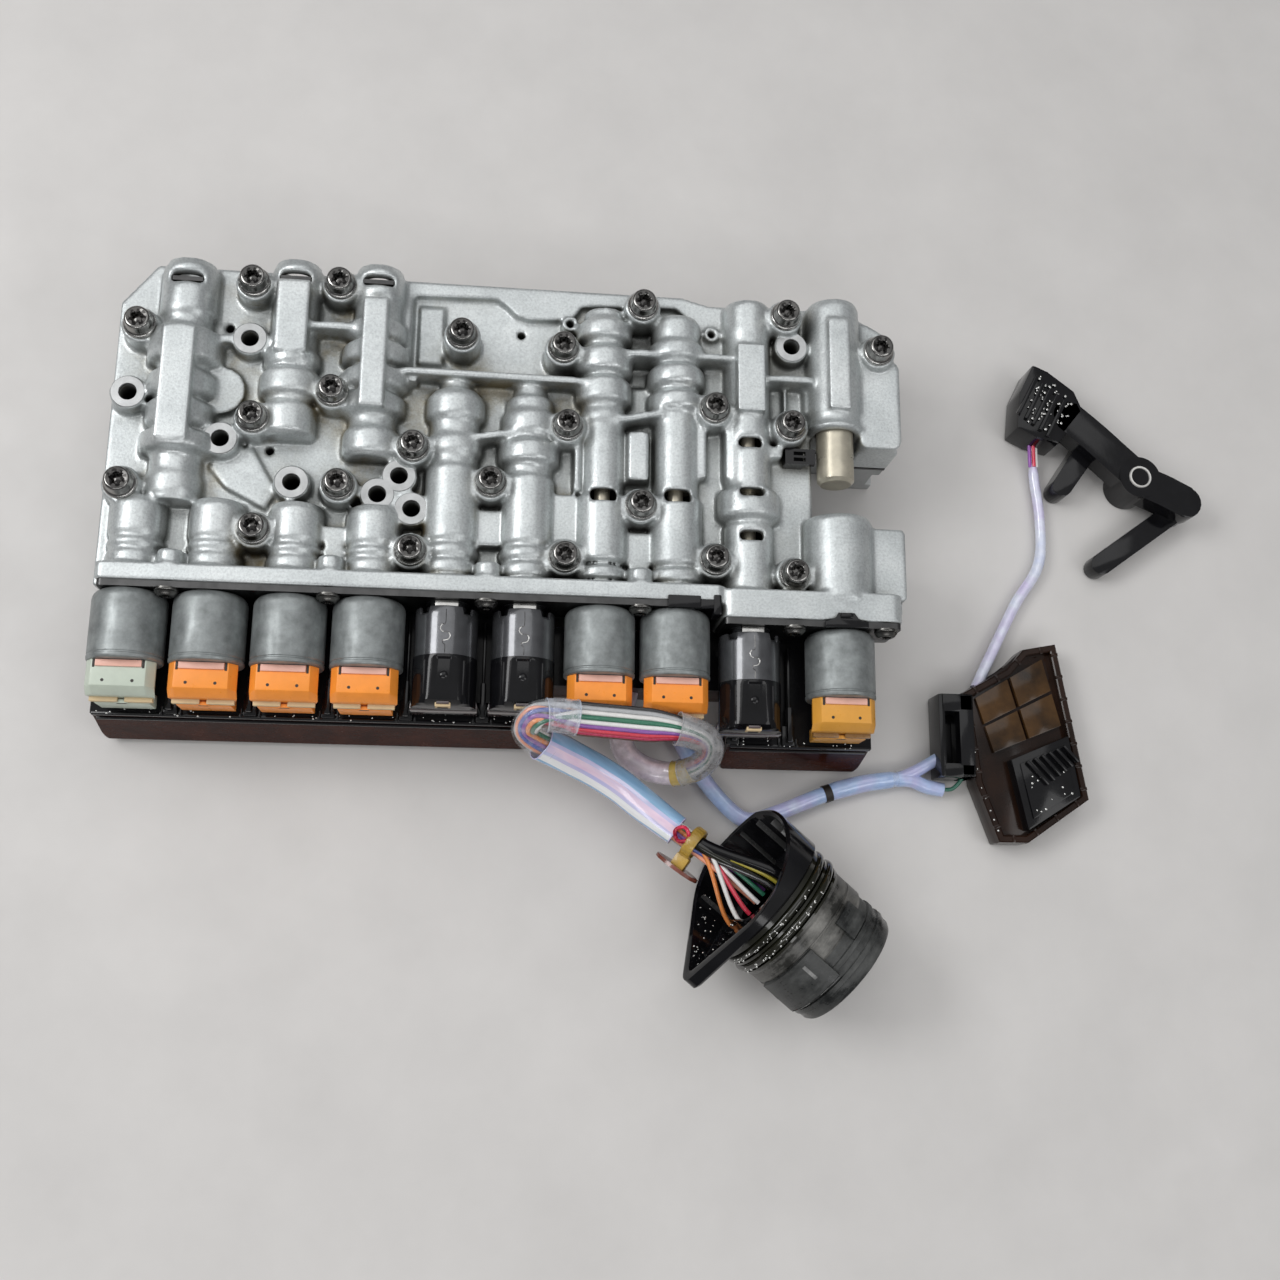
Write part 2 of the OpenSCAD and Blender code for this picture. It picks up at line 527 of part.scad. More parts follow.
// Curve through all the points, cut into steps between each two
function bend(a, b, c, d, t) = 0.5 * (2 * b + (c - a) * t + (2 * a - 5 * b + 4 * c - d) * t * t
    + (3 * b - a - 3 * c + d) * t * t * t);
function curve(p, steps) = let (n = len(p) - 1) concat(
    [for (i = [0:n - 1], s = [0:steps - 1]) bend(p[max(i - 1, 0)], p[i], p[i + 1], p[min(i + 2, n)],
        s / steps)], [p[n]]);

spring_wire = 1.2;
spring_turns = 6;
turn_steps = 10;
module spring(i) {
    k = SPOOLS[i - 1];
    y0 = k[2] + spring_wire / 2 + 0.1;
    y1 = k[3] - spring_wire / 2 - 0.1;
    r = spool_r - spring_wire / 2 - 0.8;
    steps = spring_turns * turn_steps;
    color("gray") placed() translate([across(k[0]), 0, axis_z]) tube(
        [for (s = [0:steps]) [r * cos(360 * s / turn_steps), y0 + (y1 - y0) * s / steps,
            r * sin(360 * s / turn_steps)]],
        spring_wire / 2, 6, [0, 1, 0]);
}

clip_t = 1.8;
clip_h = 13;
module bore_plugs() color("silver") placed() for (k = [0:2]) on_bore(SPOOLS[k][0])
    turned([[plug_front, spool_r - running_gap], [back(SLOT_AT[k]) - clip_t / 2, spool_r - running_gap]]);

module plug_retainers() color("dimgray") placed() for (k = [0:2])
    translate([across(SPOOLS[k][0]), back(SLOT_AT[k]) + clip_t / 2, axis_z]) rotate([90, 0, 0])
        linear_extrude(clip_t)
        difference() {
            translate([-slot_w / 2 + rest_gap, -5]) square([slot_w - 2 * rest_gap, clip_h]);
            translate([0, -3.5]) square([4, 8], center = true);
        }

module manual_valve() color("darkkhaki") placed() on_bore(manual_u) turned([[manual_front,
    manual_d / 2 - 1.4],
    [manual_front + 1.4, manual_d / 2], [back(66), manual_d / 2], [back(66), 4], [back(74), 4], [back(74),
        manual_d / 2],
    [back(82), manual_d / 2], [back(82), 4], [back(88), 4], [back(88), manual_d / 2], [manual_back,
        manual_d / 2]]);

clip_rise = 4;
clip_u = 8.5;
clip_d = 6.6;
// The clip stands in front of the bolt boss behind it
clip_gap = 0.372;
clip_y = back(clip_bolt[1]) - bolt_boss_d / 2 - clip_gap - clip_d;
module selector_clip() color("black") placed() translate([across(clip_u), clip_y, deck_z]) {
    cube([8, clip_d, clip_rise]);
    translate([0, 0, clip_rise]) linear_extrude(2.4) difference() {
        square([notch_x - across(clip_u), clip_d]);
        for (y = [1.2, 3.8]) translate([3.5, y]) square([5, 1.6]);
    }
}

// Conductor tray: blocks under the solenoids, open below, drawn back where the harness leaves
tray_top = axis_z + cap_low - 4;
tray_recess = -30;
tray_plate = 4;
// One block from x0 to x1, y_back to y_front, with its front skirt flared by flare
module tray_block(x0, x1, y_back, y_front, flare) difference() {
    intersection() {
        tray_profile(x0, x1, [[y_back, tray_lift], [y_back, tray_top], [y_front, tray_top],
            [y_front, tray_top - tray_plate], [y_front - flare, tray_lift]]);
        translate([x0, y_front - flare, 0]) linear_extrude(tray_top) round_rect(x1 - x0,
            y_back - y_front + flare, 2);
    }
    tray_profile(x0 + tray_wall, x1 - tray_wall, [[y_back - tray_wall, tray_lift - 1],
        [y_back - tray_wall, tray_top - tray_plate], [y_front + tray_wall, tray_top - tray_plate],
        [y_front + tray_wall - flare, tray_lift], [y_front + tray_wall - flare, tray_lift - 1]]);
}
module tray_profile(x0, x1, points) translate([x0, 0, 0]) rotate([90, 0, 90]) linear_extrude(x1 - x0)
    polygon(points);
tray_split = across(5.15);
tray_right = across(7.82);
function contact_top(i) = axis_z + (is_slim(i) ? -slim_d / 2 - 0.2 - rest_gap : cap_low);
CONTACTS = [1, 2, 3, 4, 5, 6, 9, 10];
module conductor_tray() color("black") placed() {
    tray_block(-side_lip, tray_split, 0, tray_front, tray_flare);
    tray_block(tray_split - 2 * tray_wall, tray_right + 2 * tray_wall, -front_step, tray_recess, 0);
    tray_block(tray_right, across(last_u + 0.55), -front_step, tray_front - front_step, tray_flare);
    for (i = CONTACTS) translate([across(solenoid_u(i)) - 7, -lead_of(solenoid_u(i)) - reach + 2.5,
        tray_top - 0.5])
        cube([14, 7, contact_top(i) - tray_top + 0.5]);
}

module loom() color("lightblue") placed() tube(curve(LOOM, 2), loom_r, 10, [0, 0, 1]);
module branch_sleeve() color("lavender") placed() tube(curve(BRANCH, 2), branch_r, 8, [0, 0, 1]);
module sensor_lead() color("lavender") placed() tube(curve(LEAD, 2), lead_r, 8, [0, 0, 1]);

// Tie round the loom just before the plug
module cable_tie() color("goldenrod") placed() translate(LOOM[tie_at]) rotate([0, 77, -37])
    difference() {
        union() {
            translate([0, 0, -2.5]) cylinder(r = loom_r + 1.5, h = 5, $fn = edge_fn);
            translate([loom_r, -3, -3]) cube([5, 6, 6]);
        }
        translate([0, 0, -4]) cylinder(r = loom_r + 0.1, h = 8, $fn = edge_fn);
    }

// Children stand on the plug's axis: z along the axis towards the mating end
module on_plug() placed() translate(plug_at) rotate([0, 0, plug_turn]) rotate([0, 90 + plug_dip, 0])
    children();

// Guard outline across the axis: round with one pointed ear
module guard_outline(inset) {
    circle(guard_r - inset, $fn = edge_fn);
    polygon([[-0.93 * (guard_r - inset), -0.36 * (guard_r - inset)], [-4, -guard_ear + 1.6 * inset],
        [4, -guard_ear + 1.6 * inset], [0.93 * (guard_r - inset), -0.36 * (guard_r - inset)]]);
}
// Its mouth is cut back from the lower lip to the brow and towards the ear
module connector_guard() color("black") on_plug() difference() {
    translate([0, 0, -guard_l]) linear_extrude(guard_l + guard_wall) guard_outline(0);
    translate([0, 0, -guard_l - 1]) linear_extrude(guard_l + 1) guard_outline(guard_wall);
    translate([0, 0, -0.5]) cylinder(r = 12, h = guard_wall + 1, $fn = edge_fn);
    translate([-guard_r, 0, -guard_brow]) rotate([-guard_tilt, atan2(guard_l - guard_brow, 2 * guard_r), 0])
        translate([-100, -100, -200]) cube([300, 200, 200]);
}

seal_w = 4;
socket_l = 14;
module connector_shell() color("dimgray") on_plug() difference() {
    union() {
        turned([[guard_wall, plug_r + 2], [14, plug_r + 2], [16, plug_r + 1], [28, plug_r + 1], [29, plug_r],
            [plug_l - 2, plug_r], [plug_l, plug_r - 1.5]]);
        rotate([0, 0, -112]) translate([plug_r - 1, -6, 20]) cube([4, 12, 17]);
        for (z = [12, 7]) translate([0, 0, plug_l - z]) cylinder(r = plug_r + 0.6, h = 2, $fn = edge_fn);
    }
    translate([0, 0, 1]) cylinder(r = 12, h = plug_l, $fn = edge_fn);
    translate([0, 0, plug_l - socket_l]) cylinder(r = plug_r - 3.5, h = plug_l, $fn = edge_fn);
    for (z = [5, 10]) translate([0, 0, z]) difference() {
        cylinder(r = plug_r + 4, h = seal_w - 0.6, $fn = edge_fn);
        translate([0, 0, -1]) cylinder(r = plug_r, h = seal_w + 2, $fn = edge_fn);
    }
}
module connector_seals() color("black") on_plug() for (z = [5, 10]) translate([0, 0, z]) difference() {
    turned([[0, plug_r + 2.4], [0.6, plug_r + 3], [seal_w - 1.2, plug_r + 3], [seal_w - 0.6, plug_r + 2.4]]);
    translate([0, 0, -1]) cylinder(r = plug_r, h = seal_w + 2, $fn = edge_fn);
}
module connector_insert() color("black") on_plug() {
    translate([0, 0, plug_l - socket_l - 18]) cylinder(r = 12 - 0.02, h = 18, $fn = edge_fn);
    for (a = [0:45:315]) rotate([0, 0, a]) translate([8, 0, plug_l - socket_l - 1]) cylinder(r = 1, h = 8,
        $fn = 16);
}

// Sensor box: moulded tray with a raised rim, latch and ribbed block, and a clear cover
BOX = [[351, -24], [371, -13], [379, -4], [394, -1], [405, -69], [377, -88], [364, -88], [355, -63]];
box_h = 12;
module position_sensor() color("saddlebrown") placed() {
    difference() {
        linear_extrude(box_h) polygon(BOX);
        translate([0, 0, box_h - 3]) linear_extrude(5) window_outline(0);
    }
    translate([339, -61, 0]) difference() {
        cube([16, 36, 15]);
        translate([3, 6, 4]) cube([6, 22, 20]);
    }
    translate([0, 0, box_h - 1]) linear_extrude(6) polygon([[370, -53], [396, -42], [400, -68], [376, -83]]);
    for (k = [0:4]) translate([0, 0, box_h + 4]) linear_extrude(2)
        translate([374 + 4.2 * k, -56 + 1.8 * k]) rotate(-72) square([14, 1.6]);
}
module window_outline(inset) polygon([[358 + inset, -25 - inset], [386 - inset, -10 - inset], [393 - inset,
    -36 + inset],
    [366 + inset, -49 + inset]]);
module position_sensor_cover() color("peru") placed() translate([0, 0, box_h - 3]) difference() {
    linear_extrude(2.4) window_outline(0.2);
    translate([0, 0, 1.8]) linear_extrude(2) translate([361.5, -38]) rotate(24) square([29, 1]);
    translate([0, 0, 1.8]) linear_extrude(2) translate([372, -17.5]) rotate(-66) square([24, 1]);
}

// Speed sensor: ribbed head, arm with a bush eye and a folded-back bar
HEAD = [[382, 114], [389, 128], [396, 125], [408, 116], [412, 106], [399, 90], [388, 93], [380, 97]];
eye = [436, 76];
eye_r = 8;
bush_r = 3.6;
arm_low = 7;
arm_h = 17;
foot_h = 9;
module stroke(p, q, w) {
    for (e = [p, q]) translate(e) circle(d = w, $fn = 24);
    translate(p) rotate(atan2(q[1] - p[1], q[0] - p[0])) translate([0, -w * shank / 2])
        square([norm(q - p), w * shank]);
}
module speed_sensor() color([0.12, 0.09, 0.08]) placed() difference() {
    union() {
        linear_extrude(arm_h) polygon(HEAD);
        for (k = [0:4]) translate([0, 0, arm_h - 1]) linear_extrude(3) translate([390 + 3.2 * k,
            121 - 2.6 * k]) rotate(-118)
            square([20, 1.6]);
        translate([0, 0, arm_low]) linear_extrude(arm_h - arm_low) {
            stroke([404, 104], eye, 14);
            stroke(eye, [456, 66], 14);
        }
        translate([eye[0], eye[1], 0]) cylinder(r = eye_r + 2, h = arm_h + 0.5, $fn = edge_fn);
        translate([456, 66, 0]) cylinder(r = 6.5, h = arm_h - 0.5, $fn = edge_fn);
        linear_extrude(foot_h) stroke([455, 63], [419, 37], 9);
        linear_extrude(foot_h + 2) stroke([416, 92], [402, 72], 9);
    }
    translate([eye[0], eye[1], -1]) cylinder(r = bush_r + 1.6, h = 30, $fn = edge_fn);
}
module speed_sensor_bush() color("silver") placed() translate([eye[0], eye[1], 0.2]) difference() {
    cylinder(r = bush_r + 1.6, h = arm_h + 0.8, $fn = edge_fn);
    translate([0, 0, -1]) cylinder(r = bush_r, h = arm_h + 3, $fn = edge_fn);
}

upper_housing();
separator_plate();
lower_housing();
housing_bolts();
retainer_plate_left();
retainer_plate_right();
retainer_screws();
for (i = [1:SOLENOIDS]) solenoid_can(i);
for (i = [1:SOLENOIDS]) solenoid_cap(i);
for (i = [1:VALVES]) spool(i);
for (i = [1:VALVES]) spring(i);
bore_plugs();
plug_retainers();
manual_valve();
selector_clip();
conductor_tray();
loom();
branch_sleeve();
sensor_lead();
cable_tie();
connector_guard();
connector_shell();
connector_seals();
connector_insert();
position_sensor();
position_sensor_cover();
speed_sensor();
speed_sensor_bush();
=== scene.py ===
"""Looks of the transmission valve body: casting, fasteners, solenoids, tray, harness, plug and sensors."""
import random
from math import atan2, cos, hypot, pi, radians, sin, sqrt

import bmesh
import bpy
from mathutils import Matrix, Vector, noise


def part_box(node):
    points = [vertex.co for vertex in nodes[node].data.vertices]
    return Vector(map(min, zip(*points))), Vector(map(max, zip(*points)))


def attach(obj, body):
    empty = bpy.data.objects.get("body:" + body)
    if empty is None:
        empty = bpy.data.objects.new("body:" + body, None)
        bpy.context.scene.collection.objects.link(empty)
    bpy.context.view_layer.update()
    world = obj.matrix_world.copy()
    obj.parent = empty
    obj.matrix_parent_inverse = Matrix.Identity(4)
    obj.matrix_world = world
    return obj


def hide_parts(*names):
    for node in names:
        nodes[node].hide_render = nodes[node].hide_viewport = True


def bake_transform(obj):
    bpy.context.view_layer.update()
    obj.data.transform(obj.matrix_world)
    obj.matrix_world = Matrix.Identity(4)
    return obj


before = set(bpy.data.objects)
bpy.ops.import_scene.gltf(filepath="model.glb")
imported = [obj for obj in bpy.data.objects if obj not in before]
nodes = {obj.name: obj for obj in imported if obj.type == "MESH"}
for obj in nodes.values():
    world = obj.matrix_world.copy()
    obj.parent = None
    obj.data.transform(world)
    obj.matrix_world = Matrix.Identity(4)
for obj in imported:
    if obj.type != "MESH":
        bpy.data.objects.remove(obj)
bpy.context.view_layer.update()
HOUSING = "housing"

# places, in millimetres in the casting's frame: x along the flange, y back from its face, z up
ORIGIN = Vector((156.0, 39.5, 0.0))
AXIS_Z, SEAT_Z, RING_Z = 45.0, 53.5, 50.5
FIRST_BORE, BORE_PITCH, CASTING_D = 11.5, 30.0, 134.0
FRONT_STEP = 6.0
LAST_U = 8 + 37 / 30
SLIM = (5, 6, 9)

# across in bore pitches, back in hundredths of the casting's depth
BOLTS = [
    (-0.15, 78.5), (1.27, 94), (2.4, 95), (4.05, 81), (2.38, 60.5), (1.38, 51), (3.47, 44.5), (-0.2, 29),
    (2.53, 31.5), (1.5, 17), (3.5, 12.5), (4.5, 34.5), (6.5, 94), (5.42, 78.5), (8.5, 93.5),
    (LAST_U + 0.58, 83.5), (5.5, 53.5), (7.5, 61.5), (8.55, 57), (6.5, 29.5), (5.5, 12.5), (7.5, 13.5),
    (8.57, 10),
]
FIXINGS = [(-0.25, 58), (1.25, 77), (0.97, 45), (1.92, 32.5), (3.03, 30), (3.3, 36), (3.48, 26), (8.6, 84.5)]

# flange screws: across, and whether they sit on the forward step
SCREWS = [(0.5, 0), (2.5, 0), (4.5, 0), (6.5, 0), (8.55, 1), (LAST_U + 0.55, 1)]

# ridges over the bores: across, front, back, neck radius; pads on them: across, front, back, half width
RIDGES = [
    (0.4, 25, 100.6, 10), (1.8, 46.5, 103, 9.2), (2.9, 41, 103, 9.4), (4, 38, 67, 9.8), (5, 37, 67, 9.6),
    (6, 35, 93, 8.6), (7, 35, 92, 9.2), (8, 24, 98.6, 9.3), (LAST_U, 57, 100.4, 10.4),
]
PADS = [(0.4, 42, 77, 6.3), (1.8, 72, 95, 6.4), (2.9, 55, 90, 5), (8, 61, 83, 5.8), (LAST_U, 63, 93, 4.5)]

# routes of the loom and the two leads, as in the CAD source, and the side that the flat loom turns down
LOOM = [
    (205, -28.5, 17), (203, -42, 15), (205, -54, 15), (213, -60.5, 15.5), (223, -63, 18), (232, -62, 25),
    (236.5, -58, 35), (234, -53, 45), (222, -49.8, 51), (204, -48.6, 53), (187, -47.8, 55), (174, -47.4, 59),
    (166.5, -48.4, 59.5), (163.5, -51.8, 54), (167, -54.8, 47.5), (177, -58.5, 39.5), (189, -63, 31.5),
    (201, -69, 25.5), (212, -76.5, 21.5), (222.5, -84, 20.5), (232.5, -91.5, 22.5), (243, -99.5, 26.5),
    (259, -112, 29.2), (269, -120.3, 28.1),
]
TIE_AT = 20
BRANCH = [
    (224, -28.5, 9), (228, -44, 5), (238, -61, 3.8), (250, -75, 3.8), (259, -80, 3.8), (270, -77, 3.8),
    (291, -68.5, 3.8), (308, -63.5, 3.8), (326, -60, 4), (341, -52, 6),
]
LEAD = [
    (359, -21, 6), (366, -8, 4), (380, 18, 2.8), (392, 37, 2.8), (394, 58, 2.8), (392, 80, 3.5), (391, 95, 6),
]
LOOM_DOWN = Vector((0.108, 0.227, -0.968))
PLUG_AT, PLUG_TURN, PLUG_DIP = (259, -112, 29.2), -39.5, 5


def across(u):
    return FIRST_BORE + BORE_PITCH * u


def back(v):
    return CASTING_D / 100 * v


def row(p):
    """Point in the model's frame, in metres."""
    return (Vector(p) - ORIGIN) / 1000.0


def moved(x, y, z=0.0):
    return Matrix.Translation((x, y, z))


def turned(degrees, axis):
    return Matrix.Rotation(radians(degrees), 4, axis)


def angles(count):
    """Even angles once round."""
    return [2 * pi * k / count for k in range(count)]


# camera, floor and light
LENS_PX, PHOTO_PX, SENSOR = 1363.8, 1280.0, 36.0
FLOOR_HALF, FLOOR_Z = 6, -0.0004
AIM = Vector((0.05, -0.02, 0))
SKY, SKY_POWER = ((0.35, (0.30, 0.30, 0.31, 1)), (1.0, (0.95, 0.95, 0.96, 1))), 0.5
LIGHTS = {
    "key": ((-0.95, 0.2, 1.0), (0.7, 0.5), 7.2), "top": ((-0.15, 0.6, 1.4), (1.9, 1.2), 7.0),
    "fill": ((0.9, -0.5, 1.1), (0.7, 0.7), 3.0), "strip": ((-0.1, -0.9, 0.9), (1.2, 0.2), 2.5),
}


def add_object(name, data):
    made = bpy.data.objects.new(name, data)
    bpy.context.collection.objects.link(made)
    return made


def make_camera():
    data = bpy.data.cameras.new("camera")
    data.sensor_width, data.sensor_fit, data.lens = SENSOR, "HORIZONTAL", SENSOR * LENS_PX / PHOTO_PX
    data.clip_start, data.clip_end = 0.01, 50.0
    right = Vector((0.99357, 0.00971, 0.11273))
    up = Vector((-0.03497, 0.97389, 0.22433))
    ahead = Vector((0.10761, 0.22683, -0.96797))
    turn = Matrix((right, up, -ahead)).transposed().to_quaternion().to_matrix().to_4x4()
    camera = add_object("camera", data)
    camera.matrix_world = Matrix.Translation(row((149.4, -136.4, 568.6))) @ turn
    bpy.context.scene.camera = camera


def make_stage():
    h = FLOOR_HALF
    mesh = bpy.data.meshes.new("floor")
    mesh.from_pydata([(-h, -h, 0), (h, -h, 0), (h, h, 0), (-h, h, 0)], [], [(0, 1, 2, 3)])
    mesh.materials.append(paint("floor_paint", (0.62, 0.605, 0.59), 0.62, speckle=0.04, grain=18.0))
    floor = add_object("floor", mesh)
    floor.location.z = FLOOR_Z
    world = bpy.data.worlds.new("studio")
    world.use_nodes = True
    tree = world.node_tree
    ramp = tree.nodes.new("ShaderNodeValToRGB")
    for element, (place, colour) in zip(ramp.color_ramp.elements, SKY):
        element.position, element.color = place, colour
    coord = tree.nodes.new("ShaderNodeTexCoord")
    split = tree.nodes.new("ShaderNodeSeparateXYZ")
    tree.links.new(coord.outputs["Generated"], split.inputs[0])
    tree.links.new(split.outputs["Z"], ramp.inputs[0])
    tree.links.new(ramp.outputs[0], tree.nodes["Background"].inputs[0])
    tree.nodes["Background"].inputs[1].default_value = SKY_POWER
    bpy.context.scene.world = world
    for name, (at, size, power) in LIGHTS.items():
        data = bpy.data.lights.new(name, "AREA")
        data.shape, data.size, data.size_y, data.energy = "RECTANGLE", *size, power
        light = add_object(name, data)
        light.location = at
        light.rotation_euler = (AIM - Vector(at)).to_track_quat("-Z", "Y").to_euler()
    bpy.context.scene.view_settings.view_transform = "Standard"


# materials, kept by name; directions that the harness film and the plug run in
MATS = {}
FILM_RUN, PLUG_RUN = (0.83, -0.46, -0.31), (0.77, -0.63, 0.0)


class Skin:
    """Material on the Principled shader, with textures in the object's own coordinates."""

    def __init__(self, name):
        self.mat = MATS[name] = bpy.data.materials.new(name)
        self.mat.use_nodes = True
        self.tree = self.mat.node_tree
        self.inputs = self.tree.nodes["Principled BSDF"].inputs
        self.coord = self.node("TexCoord").outputs["Object"]

    def node(self, kind, **values):
        node = self.tree.nodes.new("ShaderNode" + kind)
        for name, value in values.items():
            node.inputs[name].default_value = value
        return node

    def link(self, source, target):
        self.tree.links.new(source, target)

    def mapped(self, coord, **values):
        node = self.node("Mapping", **values)
        self.link(coord, node.inputs["Vector"])
        return node.outputs["Vector"]

    def along(self, axis):
        node = self.node("SeparateXYZ")
        self.link(self.coord, node.inputs[0])
        return node.outputs[axis]

    def noise(self, scale, detail=4.0, rough=0.6, stretch=None, ahead=None):
        """Noise drawn out by stretch along the axes, the first of which can be laid along ahead."""
        coord = self.coord
        if ahead:
            turn = Vector(ahead).rotation_difference(Vector((1, 0, 0)))
            coord = self.mapped(coord, Rotation=turn.to_euler())
        if stretch:
            coord = self.mapped(coord, Scale=stretch)
        node = self.node("TexNoise", Scale=scale, Detail=detail, Roughness=rough)
        self.link(coord, node.inputs["Vector"])
        return node.outputs["Fac"]

    def ramp(self, fac, *stops):
        """Ramp of (place, colour) stops, where a colour may be one grey value."""
        node = self.node("ValToRGB")
        elements = node.color_ramp.elements
        while len(elements) < len(stops):
            elements.new(0.5)
        for element, (place, colour) in zip(elements, stops):
            element.position = place
            element.color = (*colour, 1) if isinstance(colour, tuple) else (colour, colour, colour, 1)
        self.link(fac, node.inputs[0])
        return node.outputs["Color"]

    def cloudy(self, fac, colour, spread):
        low, high = (tuple(min(1.0, c * k) for c in colour) for k in (1 - spread, 1 + spread))
        return self.ramp(fac, (0.3, low), (0.7, high))

    def mix(self, kind, fac, a, b):
        node = self.node("Mix")
        node.data_type, node.blend_type = "RGBA", kind
        for name, value in (("Factor", fac), ("A", a), ("B", b)):
            if isinstance(value, bpy.types.NodeSocket):
                self.link(value, node.inputs[name])
            else:
                node.inputs[name].default_value = (*value, 1) if isinstance(value, tuple) else value
        return node.outputs["Result"]

    def times(self, a, b):
        return self.mix("MULTIPLY", 1.0, a, b)

    def hollows(self, reach):
        """How open the surface is within a reach in mm, from 0 in a corner to 1."""
        node = self.node("AmbientOcclusion", Distance=reach / 1000.0)
        node.samples = 8
        return node.outputs["AO"]

    def finish(self, colour, gloss, layers, **values):
        """Links colour, roughness and bump layers (height, strength, mm); values are the shader's own."""
        self.link(colour, self.inputs["Base Color"])
        if gloss:
            self.link(gloss, self.inputs["Roughness"])
        normal = None
        for height, strength, depth in layers:
            node = self.node("Bump", Strength=strength, Distance=depth / 1000.0)
            self.link(height, node.inputs["Height"])
            if normal:
                self.link(normal, node.inputs["Normal"])
            normal = node.outputs["Normal"]
        self.link(normal, self.inputs["Normal"])
        for name, value in values.items():
            self.inputs[name.replace("_", " ")].default_value = value
        return self.mat


def paint(name, colour, rough, speckle=0.1, grain=120.0, metallic=0.0, coat=0.0, fine=0.0, corner_shade=None,
          spec=0.5):
    """Plastic, rubber or paint with cloudy colour, uneven gloss, a fine grain and painted shade darkening its
    corners.
    """
    skin = Skin(name)
    base = skin.cloudy(skin.noise(grain), colour, speckle)
    # painted shade: ambient occlusion within reach mm darkens the colour in corners
    if corner_shade:
        reach, dark = corner_shade
        base = skin.times(base, skin.ramp(skin.hollows(reach), (0.15, dark), (0.75, 1.0)))
    gloss = skin.ramp(skin.noise(grain * 2.3), (0.3, max(0.04, rough * 0.7)), (0.7, min(1.0, rough * 1.3)))
    layers = [(skin.noise(grain * 1.5), 0.15, 0.25)]
    if fine:
        layers.append((skin.noise(2600.0, 2.0), fine, 0.06))
    return skin.finish(base, gloss, layers, Metallic=metallic, Specular_IOR_Level=spec, Coat_Weight=coat,
                       Coat_Roughness=0.08)


def cast_metal():
    """Die-cast aluminium: pale sandy skin, cloudy film, oil stains to the left, and darkening in corners and
    low places that is partly oily dirt and partly painted shade.
    """
    skin = Skin("cast")
    base = skin.ramp(skin.noise(42.0, 6.0), (0.25, (0.45, 0.478, 0.482)), (0.5, (0.56, 0.592, 0.594)),
                     (0.8, (0.665, 0.692, 0.69)))
    sand = skin.ramp(skin.noise(1000.0, 3.0, 0.7), (0.34, (0.74, 0.74, 0.75)), (0.5, 0.98), (0.66, 1.15))
    base = skin.mix("MULTIPLY", 0.65, base, sand)
    left = skin.ramp(skin.along("X"), (0.0, 1.0), (0.05, 0.3))
    patch = skin.ramp(skin.noise(30.0, 5.0, 0.7), (0.48, 0.0), (0.62, 1.0))
    deep = skin.hollows(16.0)
    stain = skin.times(skin.times(left, patch), skin.ramp(deep, (0.35, 1.0), (0.75, 0.0)))
    base = skin.mix("MULTIPLY", stain, base, (0.60, 0.47, 0.27))
    # painted shade, partly oily dirt: ambient occlusion within 16 mm darkens corners and the low deck
    base = skin.times(base, skin.ramp(deep, (0.08, (0.07, 0.065, 0.055)), (0.35, (0.50, 0.495, 0.48)),
                                      (0.6, (0.80, 0.80, 0.795)), (0.85, 1.0)))
    gloss = skin.ramp(skin.noise(30.0), (0.35, 0.30), (0.65, 0.48))
    layers = [(skin.noise(1150.0, 3.0), 0.5, 0.18), (skin.noise(210.0, 3.0), 0.25, 0.35)]
    return skin.finish(base, gloss, layers, Metallic=0.62)


def steel(name, colour, rough, streak=(1, 1, 1), spots=0.2, metallic=1.0, coat=0.0):
    """Bare steel with streaks, mottling and small pits."""
    skin = Skin(name)
    base = skin.cloudy(skin.noise(160.0, 6.0, 0.65), colour, spots)
    lines = skin.noise(260.0, 3.0, 0.6, streak)
    base = skin.mix("MULTIPLY", 0.35, base, skin.ramp(lines, (0.3, 0.7), (0.7, 1.0)))
    gloss = skin.ramp(lines, (0.3, rough * 0.75), (0.7, rough * 1.25))
    layers = [(lines, 0.12, 0.05), (skin.noise(1500.0, 2.0), 0.1, 0.04)]
    return skin.finish(base, gloss, layers, Metallic=metallic, Coat_Weight=coat, Coat_Roughness=0.06)


def tray_moulding():
    """Oily moulding: black along its top edge, reddish brown and streaked below it."""
    skin = Skin("tray")
    stain = skin.noise(70.0, 4.0, 0.65)
    brown = skin.ramp(stain, (0.3, (0.022, 0.006, 0.004)), (0.55, (0.045, 0.012, 0.007)),
                      (0.8, (0.075, 0.022, 0.012)))
    height = skin.ramp(skin.along("Z"), (0.0225, 0.0), (0.0255, 1.0))
    base = skin.mix("MIX", height, brown, (0.009, 0.009, 0.010))
    gloss = skin.ramp(stain, (0.3, 0.10), (0.7, 0.30))
    layers = [(skin.noise(160.0, 3.0), 0.25, 0.5), (skin.noise(900.0, 2.0), 0.15, 0.15)]
    return skin.finish(base, gloss, layers, Specular_IOR_Level=0.08, Coat_Weight=0.03, Coat_Roughness=0.06)


def dusty(name, dark, dust):
    """Dark plastic of the plug, with pale dust in patches and in streaks across its axis."""
    skin = Skin(name)
    streak = skin.noise(420.0, 5.0, 0.7, (1, 0.16, 0.16), PLUG_RUN)
    both = skin.mix("MIX", 0.3, skin.noise(60.0, 7.0, 0.66), streak)
    middle = tuple(0.6 * a + 0.4 * b for a, b in zip(dark, dust))
    base = skin.ramp(both, (0.40, dark), (0.52, middle), (0.64, dust))
    gloss = skin.ramp(both, (0.42, 0.22), (0.6, 0.62))
    layers = [(streak, 0.2, 0.1), (skin.noise(900.0, 3.0), 0.25, 0.08)]
    return skin.finish(base, gloss, layers, Specular_IOR_Level=0.4)


